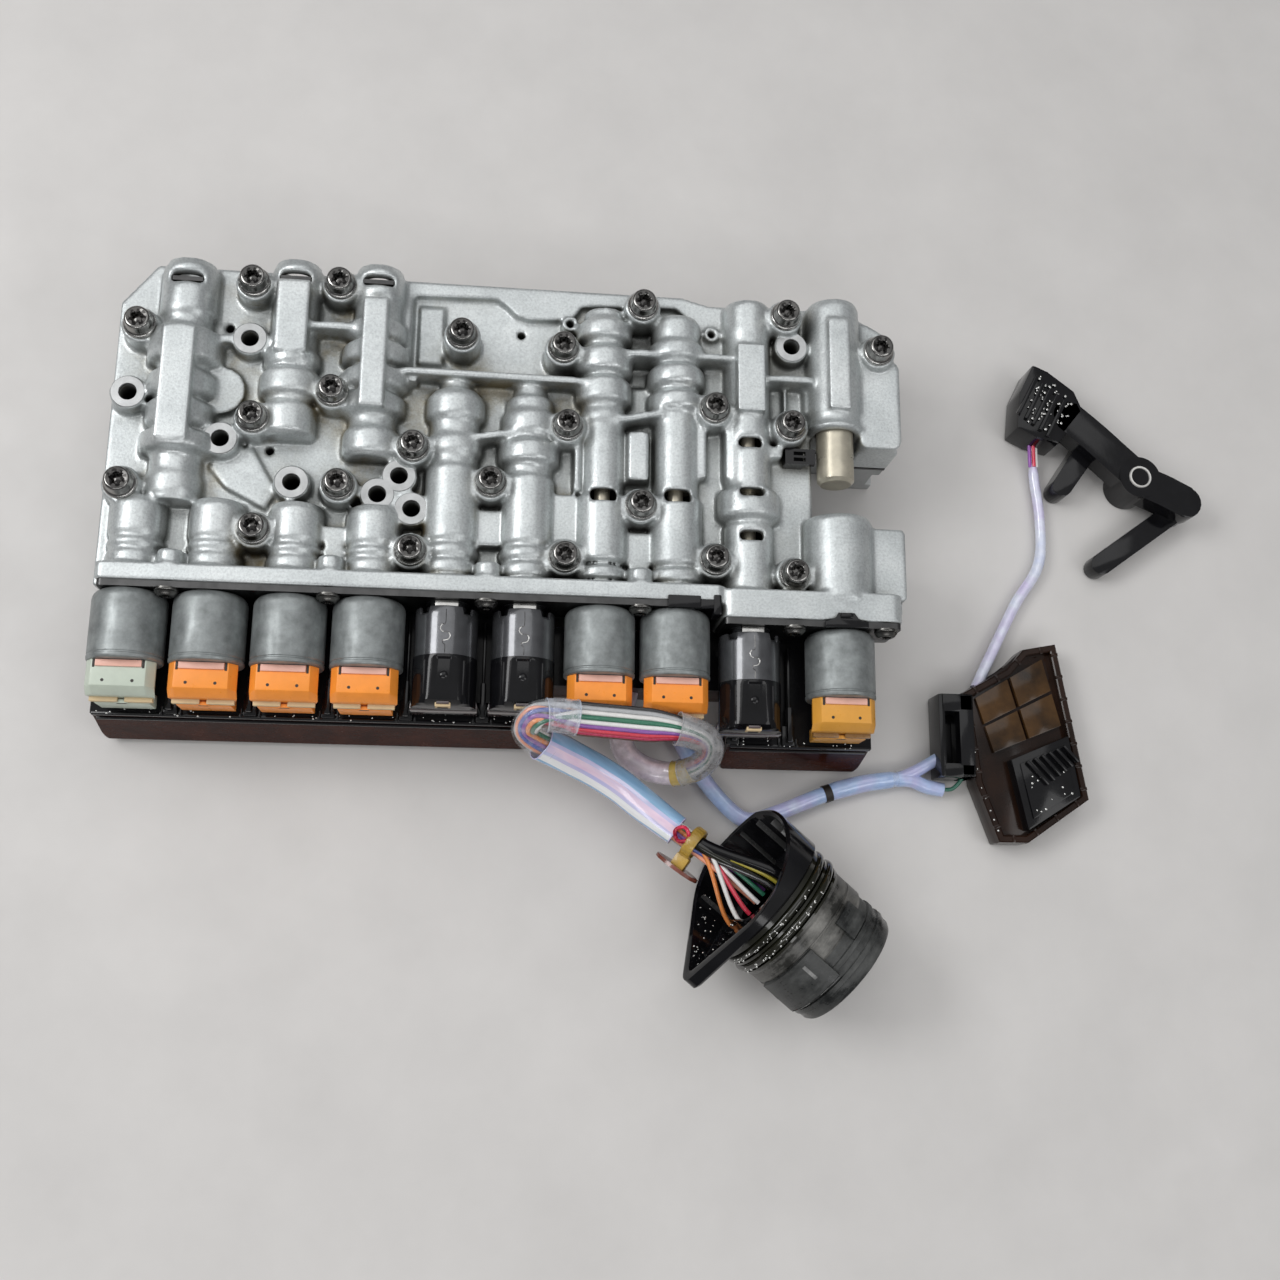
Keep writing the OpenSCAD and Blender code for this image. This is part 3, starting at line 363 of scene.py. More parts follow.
def film(name, opacity, *tints, ahead=None):
    """Shrink sleeve: tints that drift across it or run along ahead, streaks that are partly frosting and
    partly painted glare, (low, high) opacity.
    """
    skin = Skin(name)
    drift = skin.noise(170.0 if ahead else 60.0, 3.0, 0.5, (0.07, 1, 1) if ahead else None, ahead)
    step = 0.5 / (len(tints) - 1)
    base = skin.ramp(drift, *((0.25 + step * k, tint) for k, tint in enumerate(tints)))
    streaks = skin.noise(330.0, 3.0, 0.6, (0.1, 1, 1) if ahead else None, ahead)
    low, high = opacity
    # painted glare, partly frosting: the film is more opaque along the streaks
    skin.link(skin.ramp(streaks, (0.42, low), (0.68, high)), skin.inputs["Alpha"])
    layers = [(streaks, 0.3, 0.4), (skin.noise(240.0, 3.0), 0.25, 0.3)]
    return skin.finish(base, None, layers, Roughness=0.14, Coat_Weight=1.0, Coat_Roughness=0.05)


# mesh helpers
OPEN = (False, False)


def circle_ring(z, radius, count):
    """Radius is a number or a function of the angle."""
    get = radius if callable(radius) else (lambda a: radius)
    return [(get(a) * cos(a), get(a) * sin(a), z) for a in angles(count)]


def blend(stops, q):
    """Value at q of the line through (place, value) stops."""
    for (a, x), (b, y) in zip(stops, stops[1:]):
        if q <= b:
            return x + (y - x) * max(0.0, (q - a) / (b - a))
    return stops[-1][1]


def spline(points, steps):
    """Curve through the points."""
    pts = [Vector(p) for p in points]
    last = len(pts) - 1
    out = []
    for i in range(last):
        a, b, c, d = pts[max(i - 1, 0)], pts[i], pts[i + 1], pts[min(i + 2, last)]
        for t in (s / steps for s in range(steps)):
            out.append(0.5 * (2 * b + (c - a) * t + (2 * a - 5 * b + 4 * c - d) * t * t
                              + (3 * b - a - 3 * c + d) * t ** 3))
    return out + [pts[last]]


def tangents(path):
    last = len(path) - 1
    return [(path[min(i + 1, last)] - path[max(i - 1, 0)]).normalized() for i in range(last + 1)]


class Form:
    """Mesh drawn in millimetres and placed by the matrix at; look is the number of a material."""

    def __init__(self, at=Matrix()):
        self.bm, self.at = bmesh.new(), at

    def dress(self, verts, edge, look):
        """Gives the faces at the verts their look and rounds their edges."""
        faces = {f for v in verts for f in v.link_faces}
        for face in faces:
            face.material_index = look
        if edge:
            edges = list({e for v in verts for e in v.link_edges})
            made = bmesh.ops.bevel(self.bm, geom=edges, offset=edge, segments=2, profile=0.6, affect="EDGES",
                                   clamp_overlap=True)
            for face in made["faces"]:
                face.material_index = look

    def rings(self, rings, close=(True, True), look=0, bands=None, at=None):
        """Skins rings of points, each of the same count, with end caps; bands are looks round them."""
        place = at or self.at
        made = [[self.bm.verts.new(place @ Vector(p)) for p in ring] for ring in rings]
        count = len(made[0])
        for a, b in zip(made, made[1:]):
            for k in range(count):
                n = (k + 1) % count
                self.bm.faces.new((a[k], a[n], b[n], b[k])).material_index = bands[k] if bands else look
        if close[0]:
            self.bm.faces.new(made[0][::-1]).material_index = look
        if close[1]:
            self.bm.faces.new(made[-1]).material_index = look
        return [v for ring in made for v in ring]

    def lathe(self, stations, count, close=(True, True), look=0, at=None):
        self.rings([circle_ring(z, r, count) for z, r in stations], close, look, at=at)

    def box(self, low, high, edge, look=0, at=None):
        size = [b - a for a, b in zip(low, high)]
        middle = [(a + b) / 2 for a, b in zip(low, high)]
        place = (at or self.at) @ Matrix.Translation(middle) @ Matrix.Diagonal((*size, 1))
        self.dress(bmesh.ops.create_cube(self.bm, size=1.0, matrix=place)["verts"], edge, look)

    def prism(self, outline, low, high, edge, look=0, at=None):
        """Outline in x, y drawn up from low to high, with rounded edges."""
        self.dress(self.rings([[(x, y, z) for x, y in outline] for z in (low, high)], at=at), edge, look)

    def bead(self, at, radius, look):
        """Bead of oil."""
        made = bmesh.ops.create_icosphere(self.bm, subdivisions=2, radius=radius, matrix=at)
        self.dress(made["verts"], 0, look)

    def drops(self, rng, places, top, size, look):
        """Flat beads of oil on a level surface."""
        for x, y in places:
            self.bead(moved(x, y, top) @ Matrix.Diagonal((1, 1, 0.55, 1)), size * rng.uniform(0.5, 1.0), look)

    def tube(self, path, radius, count, close=(True, True), look=0, wobble=0.0):
        """Tube along a path in the casting's frame; radius may be a function of the share of its length."""
        get = radius if callable(radius) else (lambda t: radius)
        side = Vector((0, 0, 1))
        rings = []
        for i, (p, tangent) in enumerate(zip(path, tangents(path))):
            side = (side - tangent * side.dot(tangent)).normalized()
            other, ring = tangent.cross(side), []
            for k, a in enumerate(angles(count)):
                grain = noise.noise(Vector((p.x * 0.15, p.y * 0.15 + k, a)))
                r = get(i / (len(path) - 1)) * (1 + wobble * grain)
                ring.append(p + r * (cos(a) * side + sin(a) * other))
            rings.append(ring)
        self.rings(rings, close, look, at=Matrix())

    def arc_box(self, radii, span, ends, count=14, look=0):
        """Curved block on a barrel: radii, angles in degrees and ends along the axis, each as (low, high)."""
        (r0, r1), (z0, z1) = radii, ends
        turns = [radians(span[0] + (span[1] - span[0]) * k / count) for k in range(count + 1)]
        section = ((r0, z0), (r1, z0 + 0.5), (r1, z1 - 0.5), (r0, z1))
        self.rings([[(r * cos(a), r * sin(a), z) for r, z in section] for a in turns], look=look)

    def finish(self, name, looks, smooth, slot, node=None, body=HOUSING):
        """Makes the piece: looks are names of materials, node the CAD node that it stands for."""
        mesh = bpy.data.meshes.new(name)
        bmesh.ops.recalc_face_normals(self.bm, faces=self.bm.faces)
        self.bm.to_mesh(mesh)
        self.bm.free()
        for vert in mesh.vertices:
            vert.co = row(vert.co)
        piece = add_object(name, mesh)
        for look in looks:
            mesh.materials.append(MATS[look])
        mesh.shade_smooth()
        mesh.set_sharp_from_angle(angle=radians(smooth))
        if body:
            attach(piece, body)
        if node:
            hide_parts(node)
        return piece


# casting: the solid's own mesh, melted a little so that its edges become cast fillets
DECK_Z, BOSS_R2, RIDGE_HALF, RIDGE_R = 41, 50, 15.5, 15.3
VOXEL, KEPT_SHARE = 0.00085, 0.36
SMOOTHING = (("round", 16, "rounded"), ("soften", 3, ""))


def on_ridge(p):
    """Whether a point lies on a ridge's turned skin, away from pads, bolts and fixings."""
    if p.z < DECK_Z or any((p.x - across(u)) ** 2 + (p.y - back(v)) ** 2 < BOSS_R2
                           for u, v in BOLTS + FIXINGS):
        return False
    for u, first, last, neck in RIDGES:
        side = abs(p.x - across(u))
        if (side < RIDGE_HALF and back(first) + 2 < p.y < back(last) - 3
                and neck - 0.7 < hypot(side, p.z - AXIS_Z) < RIDGE_R):
            return not any(u == k and back(a) - 1 < p.y < back(b) + 1 and side < half + 0.5
                           for k, a, b, half in PADS)
    return False


def bake_modifiers(piece):
    baked = bpy.data.meshes.new_from_object(piece.evaluated_get(bpy.context.evaluated_depsgraph_get()))
    piece.modifiers.clear()
    piece.data = baked


def make_casting():
    piece = add_object("upper_casting", nodes["upper_housing"].data.copy())
    remesh = piece.modifiers.new("melt", "REMESH")
    remesh.mode, remesh.voxel_size = "VOXEL", VOXEL
    bake_modifiers(piece)
    rounded = piece.vertex_groups.new(name="rounded")
    rounded.add([v.index for v in piece.data.vertices if on_ridge(1000.0 * v.co + ORIGIN)], 1.0, "REPLACE")
    for name, steps, group in SMOOTHING:
        smooth = piece.modifiers.new(name, "SMOOTH")
        smooth.factor, smooth.iterations, smooth.vertex_group = 0.5, steps, group
    piece.modifiers.new("thin", "DECIMATE").ratio = KEPT_SHARE
    bake_modifiers(piece)
    piece.vertex_groups.clear()
    piece.data.materials.clear()
    piece.data.materials.append(MATS["cast"])
    piece.data.shade_smooth()
    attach(piece, HOUSING)
    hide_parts("upper_housing")


def make_fixing_faces():
    """Faced tops of the fixing bosses, and their bores lined in near-black, which is painted shade in the
    holes.
    """
    form = Form()
    for u, v in FIXINGS:
        at = moved(across(u), back(v), RING_Z)
        form.lathe([(-1.6, 6.6), (0.0, 6.6), (0.26, 6.35), (0.3, 3.55), (-0.2, 3.3)], 48, OPEN, at=at)
        # painted shade: the bore walls take the near-black look
        form.lathe([(-0.2, 3.3), (-2.0, 3.28), (-24.0, 3.28)], 48, OPEN, 1, at)
    form.finish("fixing_faces", ["machined", "dark"], 35, "ground_metal")


def make_clips():
    """Black clips over the retainer plates and the lug at the flange's step."""
    form = Form()
    form.box((217, -3.1, 55.6), (230, 1.8, 58.9), 0.5)
    form.box((219.5, -3.3, 53.5), (227.5, -2.6, 56.2), 0.2)
    form.box((230, -3.1, 56.4), (236.5, 0.6, 58.3), 0.4)
    form.box((235.0, -5.6, 49.0), (238.3, 2.6, 58.7), 0.9)
    over = [(279.5, -8.9), (297.0, -8.9), (297.0, -6.4), (292.6, -5.6), (291.4, -2.9), (284.8, -2.9),
            (283.6, -5.6), (279.5, -6.4)]
    form.prism(over, 56.8, 59.0, 0.4)
    form.box((285.6, -5.2, 58.6), (290.6, -3.3, 60.0), 0.4)
    form.finish("flange_clips", ["black"], 35, "black_plastic")


def make_tray_details():
    """Glossy top edge of the tray, posts and contact humps between the solenoids, beads of oil."""
    rng = random.Random(21)
    form = Form()
    for x0, x1, y in ((-4.0, 166.0, -46.5), (246.1, 305.1, -52.5)):
        form.box((x0 + 0.4, y - 0.7, 27.3), (x1 - 0.4, y + 0.9, 29.5), 0.55)
        form.box((x0 + 1.0, y - 1.4, 22.4), (x1 - 1.0, y + 0.3, 24.0), 0.5)
    for u, y in [(k + 0.5, -46.2) for k in range(5)] + [(8.62, -52.2), (7.86, -52.2)]:
        x = across(u)
        form.box((x - 2.6, y, 28.6), (x + 2.6, y + 8.0, 31.2), 0.5)
        form.box((x - 1.1, y + 1.0, 30.8), (x + 1.1, y + 15.0, 35.5), 0.5)
        form.box((x - 0.6, y + 14.0, 30.8), (x + 0.6, y + 40.0, 33.5), 0.3)
        for dx in (-3.6, 3.6):
            form.box((x + dx - 0.5, y - 0.5, 26.8), (x + dx + 0.5, y + 3.0, 30.4), 0.2)
    places = [(rng.uniform(-2, 164), -46.4 + rng.uniform(-0.3, 2.4)) for _ in range(46)]
    places += [(rng.uniform(248, 303), -52.4 + rng.uniform(-0.3, 2.4)) for _ in range(16)]
    form.drops(rng, places, 29.4, 0.55, 1)
    form.finish("tray_edge", ["black", "bead"], 35, "tray_plastic")


# fasteners
SIXTH_TURN = 1.05


def add_bolt(form, at, flange, head, height, socket, count):
    """Flange, head and six-lobe socket, each with a look of its own; the socket's near-black look is painted
    shade in the recess.
    """
    def lobes(radius):
        return lambda a: radius * (1 + 0.13 * cos(6 * a))

    skirt = [(0.0, flange), (0.7, flange + 0.05), (1.2, flange - 0.15), (1.5, flange - 0.6),
             (1.6, head + 0.75)]
    crown = [(1.6, head + 0.75), (2.0, head + 0.3), (2.5, head), (height - 1.1, head - 0.1),
             (height - 0.45, head - 0.35), (height - 0.1, head - 0.8), (height, head - 1.2)]
    # painted shade: the socket bowl takes the near-black third look
    bowl = [(height, head - 1.2), (height - 0.15, lobes(socket + 0.45)), (height - 0.5, lobes(socket)),
            (height - 2.2, lobes(socket * 0.96)), (height - 1.9, socket * 0.55), (height - 1.5, socket * 0.2)]
    for k, stations in enumerate((skirt, crown, bowl)):
        form.lathe(stations, count, (False, k == 2), k, at)


def make_bolts():
    rng = random.Random(4)
    form = Form()
    for u, v in BOLTS:
        turn = Matrix.Rotation(rng.uniform(0, SIXTH_TURN), 4, "Z")
        add_bolt(form, moved(across(u), back(v), SEAT_Z) @ turn, 6.45, 5.15, 6.5, 2.35, 48)
    form.finish("bolt_heads", ["washer", "bolt", "bolt_dark"], 35, "dark_steel", "housing_bolts")
    form = Form()
    for u, lead in SCREWS:
        at = moved(across(u), -lead * FRONT_STEP - 2.5, AXIS_Z + 9.5) @ turned(90, "X")
        add_bolt(form, at @ Matrix.Rotation(rng.uniform(0, SIXTH_TURN), 4, "Z"), 4.55, 3.75, 3.2, 1.6, 40)
    form.finish("screw_heads", ["screw", "screw", "bolt_dark"], 35, "dark_steel", "retainer_screws")


def make_springs():
    """Return springs, each with its front end on the spool and its back end on the housing."""
    wire, turns, steps = 1.2, 6, 24
    for i in range(1, 9):
        low, high = (1000.0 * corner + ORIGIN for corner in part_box(f"spring_{i}"))
        middle, radius, reach = (low + high) / 2, (high.x - low.x - wire) / 2, high.y - low.y - wire
        path = []
        for k in range(turns * steps + 1):
            a, y = 2 * pi * k / steps, low.y + wire / 2 + reach * k / (turns * steps)
            path.append(Vector((middle.x + radius * cos(a), y, middle.z + radius * sin(a))))
        form = Form()
        form.tube(path, wire / 2, 10)
        piece = form.finish(f"return_spring_{i}", ["bolt"], 60, "dark_steel", f"spring_{i}", body=None)
        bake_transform(piece)


# solenoids, drawn along the bore's axis: x across, y up, z out of the flange
NOSE = [(-20, 7.3), (-18.8, 8.45), (2.5, 8.45)]
UPRIGHT = turned(-90, "X")


def out_of_flange(i):
    u = LAST_U if i == 10 else i - 1
    return moved(across(u), -FRONT_STEP if u > 7.5 else 0.0, AXIS_Z) @ turned(90, "X")


def make_regulator(i):
    at = out_of_flange(i)
    form = Form(at)
    bend = [(6.5 - 4 * cos(a), 10 + 4 * sin(a)) for a in (radians(15 * k) for k in range(7))]
    mouth = [(27.3, 14), (27.6, 13.75), (28.0, 13.75), (28.3, 14.05), (29.3, 14.05), (29.7, 13.8), (30, 13.2)]
    form.lathe(NOSE + bend + mouth, 72)
    form.finish(f"can_{i}", ["can"], 35, "can_steel", f"solenoid_can_{i}")
    form = Form(at)
    half, low, top, foot = 12.8, -12.0, 8.5, 9.0

    def section(z, shoulder, slant, height):
        return [(x, y, z) for x, y in ((-foot, low), (foot, low), (half, shoulder), (half - slant, height),
                                       (slant - half, height), (-half, shoulder))]

    body, brow = (top - 4.0, 2.8, top), (top - 6.4, 3.0, top - 4.4)
    form.dress(form.rings([section(30, *body), section(40, *body), section(43, *brow)]), 0.5, 0)
    form.box((-foot - 1.2, low, 40), (foot + 1.2, top - 9.5, 45), 0.4)
    for sx in (-1, 1):
        x0, x1 = sorted((sx * 1.3, sx * 11.6))
        form.box((x0, top - 9.7, 41.5), (x1, top - 7.4, 44.7), 0.25, 1)
        # the two pinholes are near-black discs, painted shade in place of holes
        form.lathe([(0, 0.62), (0.22, 0.62)], 16, look=3, at=at @ moved(sx * 5.4, top - 0.2, 38) @ UPRIGHT)
    form.box((-2.4, top - 10.6, 43.6), (2.4, top - 8.6, 45.0), 0.15)
    form.box((-1.8, top - 10.2, 44.6), (1.8, top - 9.2, 45.1), 0.1, 3)
    form.box((-8.4, top - 0.6, 30.2), (8.4, top + 0.75, 32.8), 0.3, 2)
    for sx in (-1, 1):
        form.box((sx * 9.0 - 0.45, top - 0.6, 30.2), (sx * 9.0 + 0.45, top + 0.15, 33.2), 0.1, 3)
    colour = {1: "pale", 10: "amber"}.get(i, "orange")
    looks = [colour, "amber_lip" if i == 10 else "beige", "salmon", "dark"]
    form.finish(f"cap_{i}", looks, 30, f"{colour}_plastic", f"solenoid_cap_{i}")


# puzzle-lock seam of the rolled shell: across and along; the stretches of it that carry a painted highlight
SEAM = [(0, 7), (0, 12.4), (-1.2, 13.0), (-1.9, 14.4), (-1.1, 15.8), (0.9, 16.0), (1.9, 17.2), (1.2, 18.8),
        (-0.8, 19.4), (-0.8, 20.4), (0, 21.2), (0, 24.2)]
PAINTED_GLINTS = ((8, 18), (21, 33))


def make_slim(i):
    at = out_of_flange(i)
    form = Form(at)
    count, shell_r, cap_r = 96, 12.25, 12.45

    def crown(a):
        gap = min(abs((a - radians(c) + pi) % (2 * pi) - pi) for c in (48, 132, 228, 312))
        return 5.5 + (2.6 if gap < 0.2 else 0.0)

    rim = [(12.0 * cos(a), 12.0 * sin(a), crown(a)) for a in angles(count)]
    form.rings([circle_ring(8.6, 11.1, count), [(x * 0.93, y * 0.93, d + 0.1) for x, y, d in rim], rim,
                [(x * 1.02, y * 1.02, d + 0.35) for x, y, d in rim], circle_ring(9.0, shell_r, count),
                circle_ring(24.5, shell_r, count)])
    form.lathe(NOSE + [(2.5, 6.8), (4.2, 6.8), (4.4, 8.0), (8.6, 8.0)], 48)
    form.box((-4.5, 4.5, 2.6), (4.5, 9.2, 6.6), 0.5, 2)
    seam = [at @ p for p in spline([(x, sqrt(shell_r ** 2 - x ** 2), d) for x, d in SEAM], 4)]
    form.tube(seam, 0.14, 6, look=3)
    # painted highlight: tubes of bright steel over two stretches of the seam
    for first, last in PAINTED_GLINTS:
        form.tube(seam[first:last], 0.18, 6, look=1)
    form.finish(f"can_{i}", ["slim", "bright", "washer", "bolt_dark"], 35, "can_steel", f"solenoid_can_{i}")
    form = Form(at)

    def flat_top(cut):
        return lambda a: min(cap_r, cut / sin(a)) if sin(a) > 0.2 else cap_r

    form.lathe([(24.5, 12.3), (24.7, cap_r), (25.6, cap_r), (26.4, flat_top(11.5)), (40.5, flat_top(11.3)),
                (42.0, flat_top(10.8)), (43.2, flat_top(9.2)), (43.9, flat_top(7.0))], 72)
    foot = [(-13.0, -44.3), (13.0, -44.3), (13.2, -42.8), (12.2, -39.0), (-12.2, -39.0), (-13.2, -42.8)]
    form.prism(foot, -12.0, -1.5, 0.7, 2, at @ UPRIGHT)
    form.box((-8, -12, 35.5), (8, -5, 44.4), 0.6)
    form.box((-3.0, 5.0, 41.4), (3.0, 9.6, 44.4), 0.4, 3)
    form.box((-2.0, 5.6, 44.0), (2.0, 7.4, 44.7), 0.2, 1)
    form.box((-2.4, 9.4, 42.4), (2.4, 10.2, 43.6), 0.2, 2)
    form.lathe([(0, 1.6), (0.35, 1.5), (0.7, 0.9), (0.8, 0.3)], 20, at=at @ moved(0, 11.3, 32.5) @ UPRIGHT)
    for sx in (-1, 1):
        form.box((sx * 7.4 - 0.35, 8.6, 26.6), (sx * 7.4 + 0.35, 10.2, 40.0), 0.2)
    form.finish(f"cap_{i}", ["black", "dark", "foot", "beige"], 30, "black_plastic", f"solenoid_cap_{i}")


# harness: wire colour, place across and in depth on the flat run and at the left fold, end in the plug
WIRES = [
    ("black", (0.02, 0.02, 0.022), (-5.0, 0.6), (-2.4, -1.4), (-7, 4)),
    ("salmon", (0.80, 0.34, 0.22), (0.0, -1.4), (-3.6, 0.6), (5, -3)),
    ("white", (0.78, 0.77, 0.75), (-2.3, 1.9), (4.0, 0.9), (1, -13.5)),
    ("green", (0.03, 0.17, 0.10), (-0.7, 2.2), (3.0, 1.7), (2, 1)),
    ("pale", (0.80, 0.79, 0.78), (0.9, 2.2), (0.6, -1.2), (0, -3.2)),
    ("violet", (0.25, 0.09, 0.36), (2.3, 1.9), (-0.6, 2.2), (6, 3)),
    ("red", (0.62, 0.035, 0.07), (3.6, 1.4), (2.2, -1.2), (0, -8.8)),
    ("crimson", (0.48, 0.02, 0.08), (4.6, 0.6), (-0.8, -1.0), (8, -2)),
    ("brown", (0.10, 0.035, 0.02), (5.2, -0.6), (3.4, -1.0), (9, 2)),
    ("blue", (0.10, 0.14, 0.42), (-1.6, -0.6), (-2.2, 1.7), (7, 6)),
    ("orange", (0.80, 0.27, 0.07), (1.6, -0.6), (1.2, 2.3), (12, -15.5)),
    ("grey", (0.42, 0.43, 0.44), (-3.8, 1.3), (-4.2, -0.8), (4, 8)),
]
WIRE_R, TUBE_R, THIN_R = 0.95, 2.3, 0.8
STEPS, SWEEP = 6, 14
SPREAD = [(0, 0.6), (4.5, 0.6), (6.0, 0.4), (7.6, 0.6), (8.6, 1.14), (10.3, 1.14), (12.2, 0.98), (14.5, 0.95),
          (20.0, 0.8)]
SLEEVES = ["film_lower", "film_pale", "film_clear", "tape", "film_grey", "film_frost", "film_azure",
           "film_pink", "film_white"]
BANDS = [6, 6, 6, 6, 6, 0, 7, 7, 0, 8, 8, 6] + [0] * 16


def make_curve(name, path, radius, look):
    data = bpy.data.curves.new(name, "CURVE")
    data.dimensions, data.use_fill_caps = "3D", True
    data.bevel_depth, data.bevel_resolution = radius / 1000.0, 3
    line = data.splines.new("POLY")
    line.points.add(len(path) - 1)
    for point, p in zip(line.points, path):
        point.co = (*row(p), 1)
    line.use_smooth = True
    piece = add_object(name, data)
    data.materials.append(MATS[look])
    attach(piece, HOUSING)
    return piece


def loom_frames():
    """Point, direction across the flat bundle and direction of its depth along the loom."""
    path, out = spline(LOOM, STEPS), []
    for p, tangent in zip(path, tangents(path)):
        over = tangent.cross(LOOM_DOWN).normalized()
        out.append((p, over, tangent.cross(over)))
    return out


def wire_path(rails, flat, fold, end):
    """Along the loom to the tie, then in one sweep to the end on the plug's floor."""
    path = []
    for i, (p, over, deep) in enumerate(rails[:TIE_AT * STEPS + 1]):
        share, size = blend([(10.3, 0.0), (12.0, 1.0)], i / STEPS), blend(SPREAD, i / STEPS)
        s, d = (size * (a + (b - a) * share) for a, b in zip(flat, fold))
        path.append(p + s * over + d * deep)
    at = plug_matrix()
    goal, inward = at @ Vector((*end, 0.8)), at.to_3x3() @ Vector((0, 0, 1))
    start_at, ahead = path[-1], (path[-1] - path[-3]).normalized()
    reach = (goal - start_at).length
    for t in (k / SWEEP for k in range(1, SWEEP + 1)):
        h1, h2 = 2 * t ** 3 - 3 * t ** 2 + 1, t ** 3 - 2 * t ** 2 + t
        h3, h4 = 3 * t ** 2 - 2 * t ** 3, t ** 3 - t ** 2
        path.append(h1 * start_at + h2 * 0.9 * reach * ahead + h3 * goal + h4 * 0.7 * reach * inward)
    return path


def sleeve(form, rails, width, deep, look, ripple, rims, bands=None):
    """Flat sleeve over part of the loom, with rolled rims; width and depth are (place, value) stops."""
    first, last = width[0][0], width[-1][0]
    rings = []
    for i, (p, over, up) in enumerate(rails[int(first * STEPS):int(last * STEPS) + 1]):
        q = first + i / STEPS
        ring = []
        for a in angles(28):
            grain = noise.noise(Vector((q * 1.3, 2 * cos(a), 2 * sin(a))))
            wave = 1 + ripple * cos(5 * a + 0.4 * q) + 0.03 * grain
            ring.append(p + wave * (blend(width, q) * cos(a) * over + blend(deep, q) * sin(a) * up))
        rings.append(ring)
    form.rings(rings, OPEN, look, bands)
    for ring in (rings[0], rings[-1]):
        form.tube(ring + ring[:2], rims, 6, OPEN, look)


def make_loom(rails):
    for colour, _, flat, fold, end in WIRES:
        path = wire_path(rails, flat, fold, end)
        wire = make_curve(f"wire_{colour}", path, WIRE_R, f"wire_{colour}")
    for name, side, end, points, radius, look, slot in (
            ("black_tube_1", (2.6, 1.4), (-5, 10), SWEEP + 1, TUBE_R, "black", "black_plastic"),
            ("black_tube_2", (1.0, 2.0), (1, 5.5), SWEEP + 1, TUBE_R, "wet_rubber", "black_plastic"),
            ("wire_yellow", (2.0, 3.0), (-4, 7), 9, THIN_R, "wire_yellow", "clear_sleeve")):
        make_curve(name, wire_path(rails, side, side, end)[-points:], radius, look)
    form = Form()
    lower = [(14.4, 7.0), (18, 6.9), (19.4, 6.2)]
    sleeve(form, rails, lower, [(14.4, 4.6), (19.4, 4.6)], 0, 0.035, 0.25, BANDS)
    sleeve(form, rails, [(0.0, 5.2), (4.4, 4.8)], [(0, 4.0), (4.4, 4.0)], 1, 0.03, 0.2)
    sleeve(form, rails, [(4.3, 5.2), (5.0, 5.2)], [(4.3, 4.3), (5, 4.3)], 3, 0.02, 0.2)
    sleeve(form, rails, [(4.6, 5.4), (6.4, 5.6), (8.0, 6.6)], [(4.6, 4.6), (8.0, 4.8)], 4, 0.0, 0.3)
    sleeve(form, rails, [(10.4, 6.9), (11.4, 6.5)], [(10.4, 4.7), (11.4, 4.7)], 5, 0.0, 0.3)
    sleeve(form, rails, [(11.3, 6.3), (12.5, 5.8), (14.7, 6.3)], [(11.3, 4.5), (14.7, 4.4)], 2, 0.0, 0.3)
    form.finish("loom_sleeves", SLEEVES, 60, "clear_sleeve", "loom")


def make_branch():
    path = spline(BRANCH, STEPS)
    form = Form()
    width = [(0, 3.5), (0.68, 3.4), (0.69, 3.9), (0.86, 3.6), (0.87, 2.8), (1, 2.6)]
    form.tube(path, lambda t: blend(width, t), 20, wobble=0.05)
    piece = form.finish("branch_sleeve_skin", ["film_blue"], 60, "clear_sleeve", "branch_sleeve")
    form = Form()
    form.tube(path[36:38], 3.75, 20)
    form.tube(path[45:48], 3.5, 20, look=1)
    stub = spline([path[46], (329, -61.5, 4), (336, -64, 4), (343, -65.3, 4)], 5)
    form.tube(stub, 3.1, 16, (True, False), 2, 0.06)
    wire = spline([stub[-3], (346.5, -65.0, 4.5), (350.0, -62.0, 5.5), (352.0, -58.0, 7.0)], 5)
    form.tube(wire, 0.9, 10, look=3)
    joints = form.finish("branch_joints", ["dark", "film_clear", "film_blue", "green"], 60, "clear_sleeve")


def make_lead():
    path = spline(LEAD, STEPS)
    form = Form()
    form.tube(path[:21], 2.5, 16, wobble=0.05)
    width = [(0, 2.35), (0.66, 2.35), (0.72, 1.0), (1, 1.0)]
    form.tube(path[20:], lambda t: blend(width, t), 16, wobble=0.05)
    piece = form.finish("sensor_lead_skin", ["film_lead"], 60, "clear_sleeve", "sensor_lead")
    form = Form()
    for k, (dx, dz) in enumerate(((-1.5, 0.6), (0.0, 1.6), (1.5, 0.6))):
        form.tube([q + Vector((dx, 0, dz)) for q in path[-6:]], 0.8, 10, look=k)
    tails = form.finish("lead_tails", ["violet", "red", "white"], 60, "clear_sleeve")


# round plug, drawn along its axis from the guard's floor
GUARD_R, RIM_NEAR, RIM_FAR, RIM_SLOPE = 29.0, -4.0, -21.0, (0.2931, 0.1931)


def plug_matrix():
    return Matrix.Translation(PLUG_AT) @ turned(PLUG_TURN, "Z") @ turned(90 + PLUG_DIP, "Y")


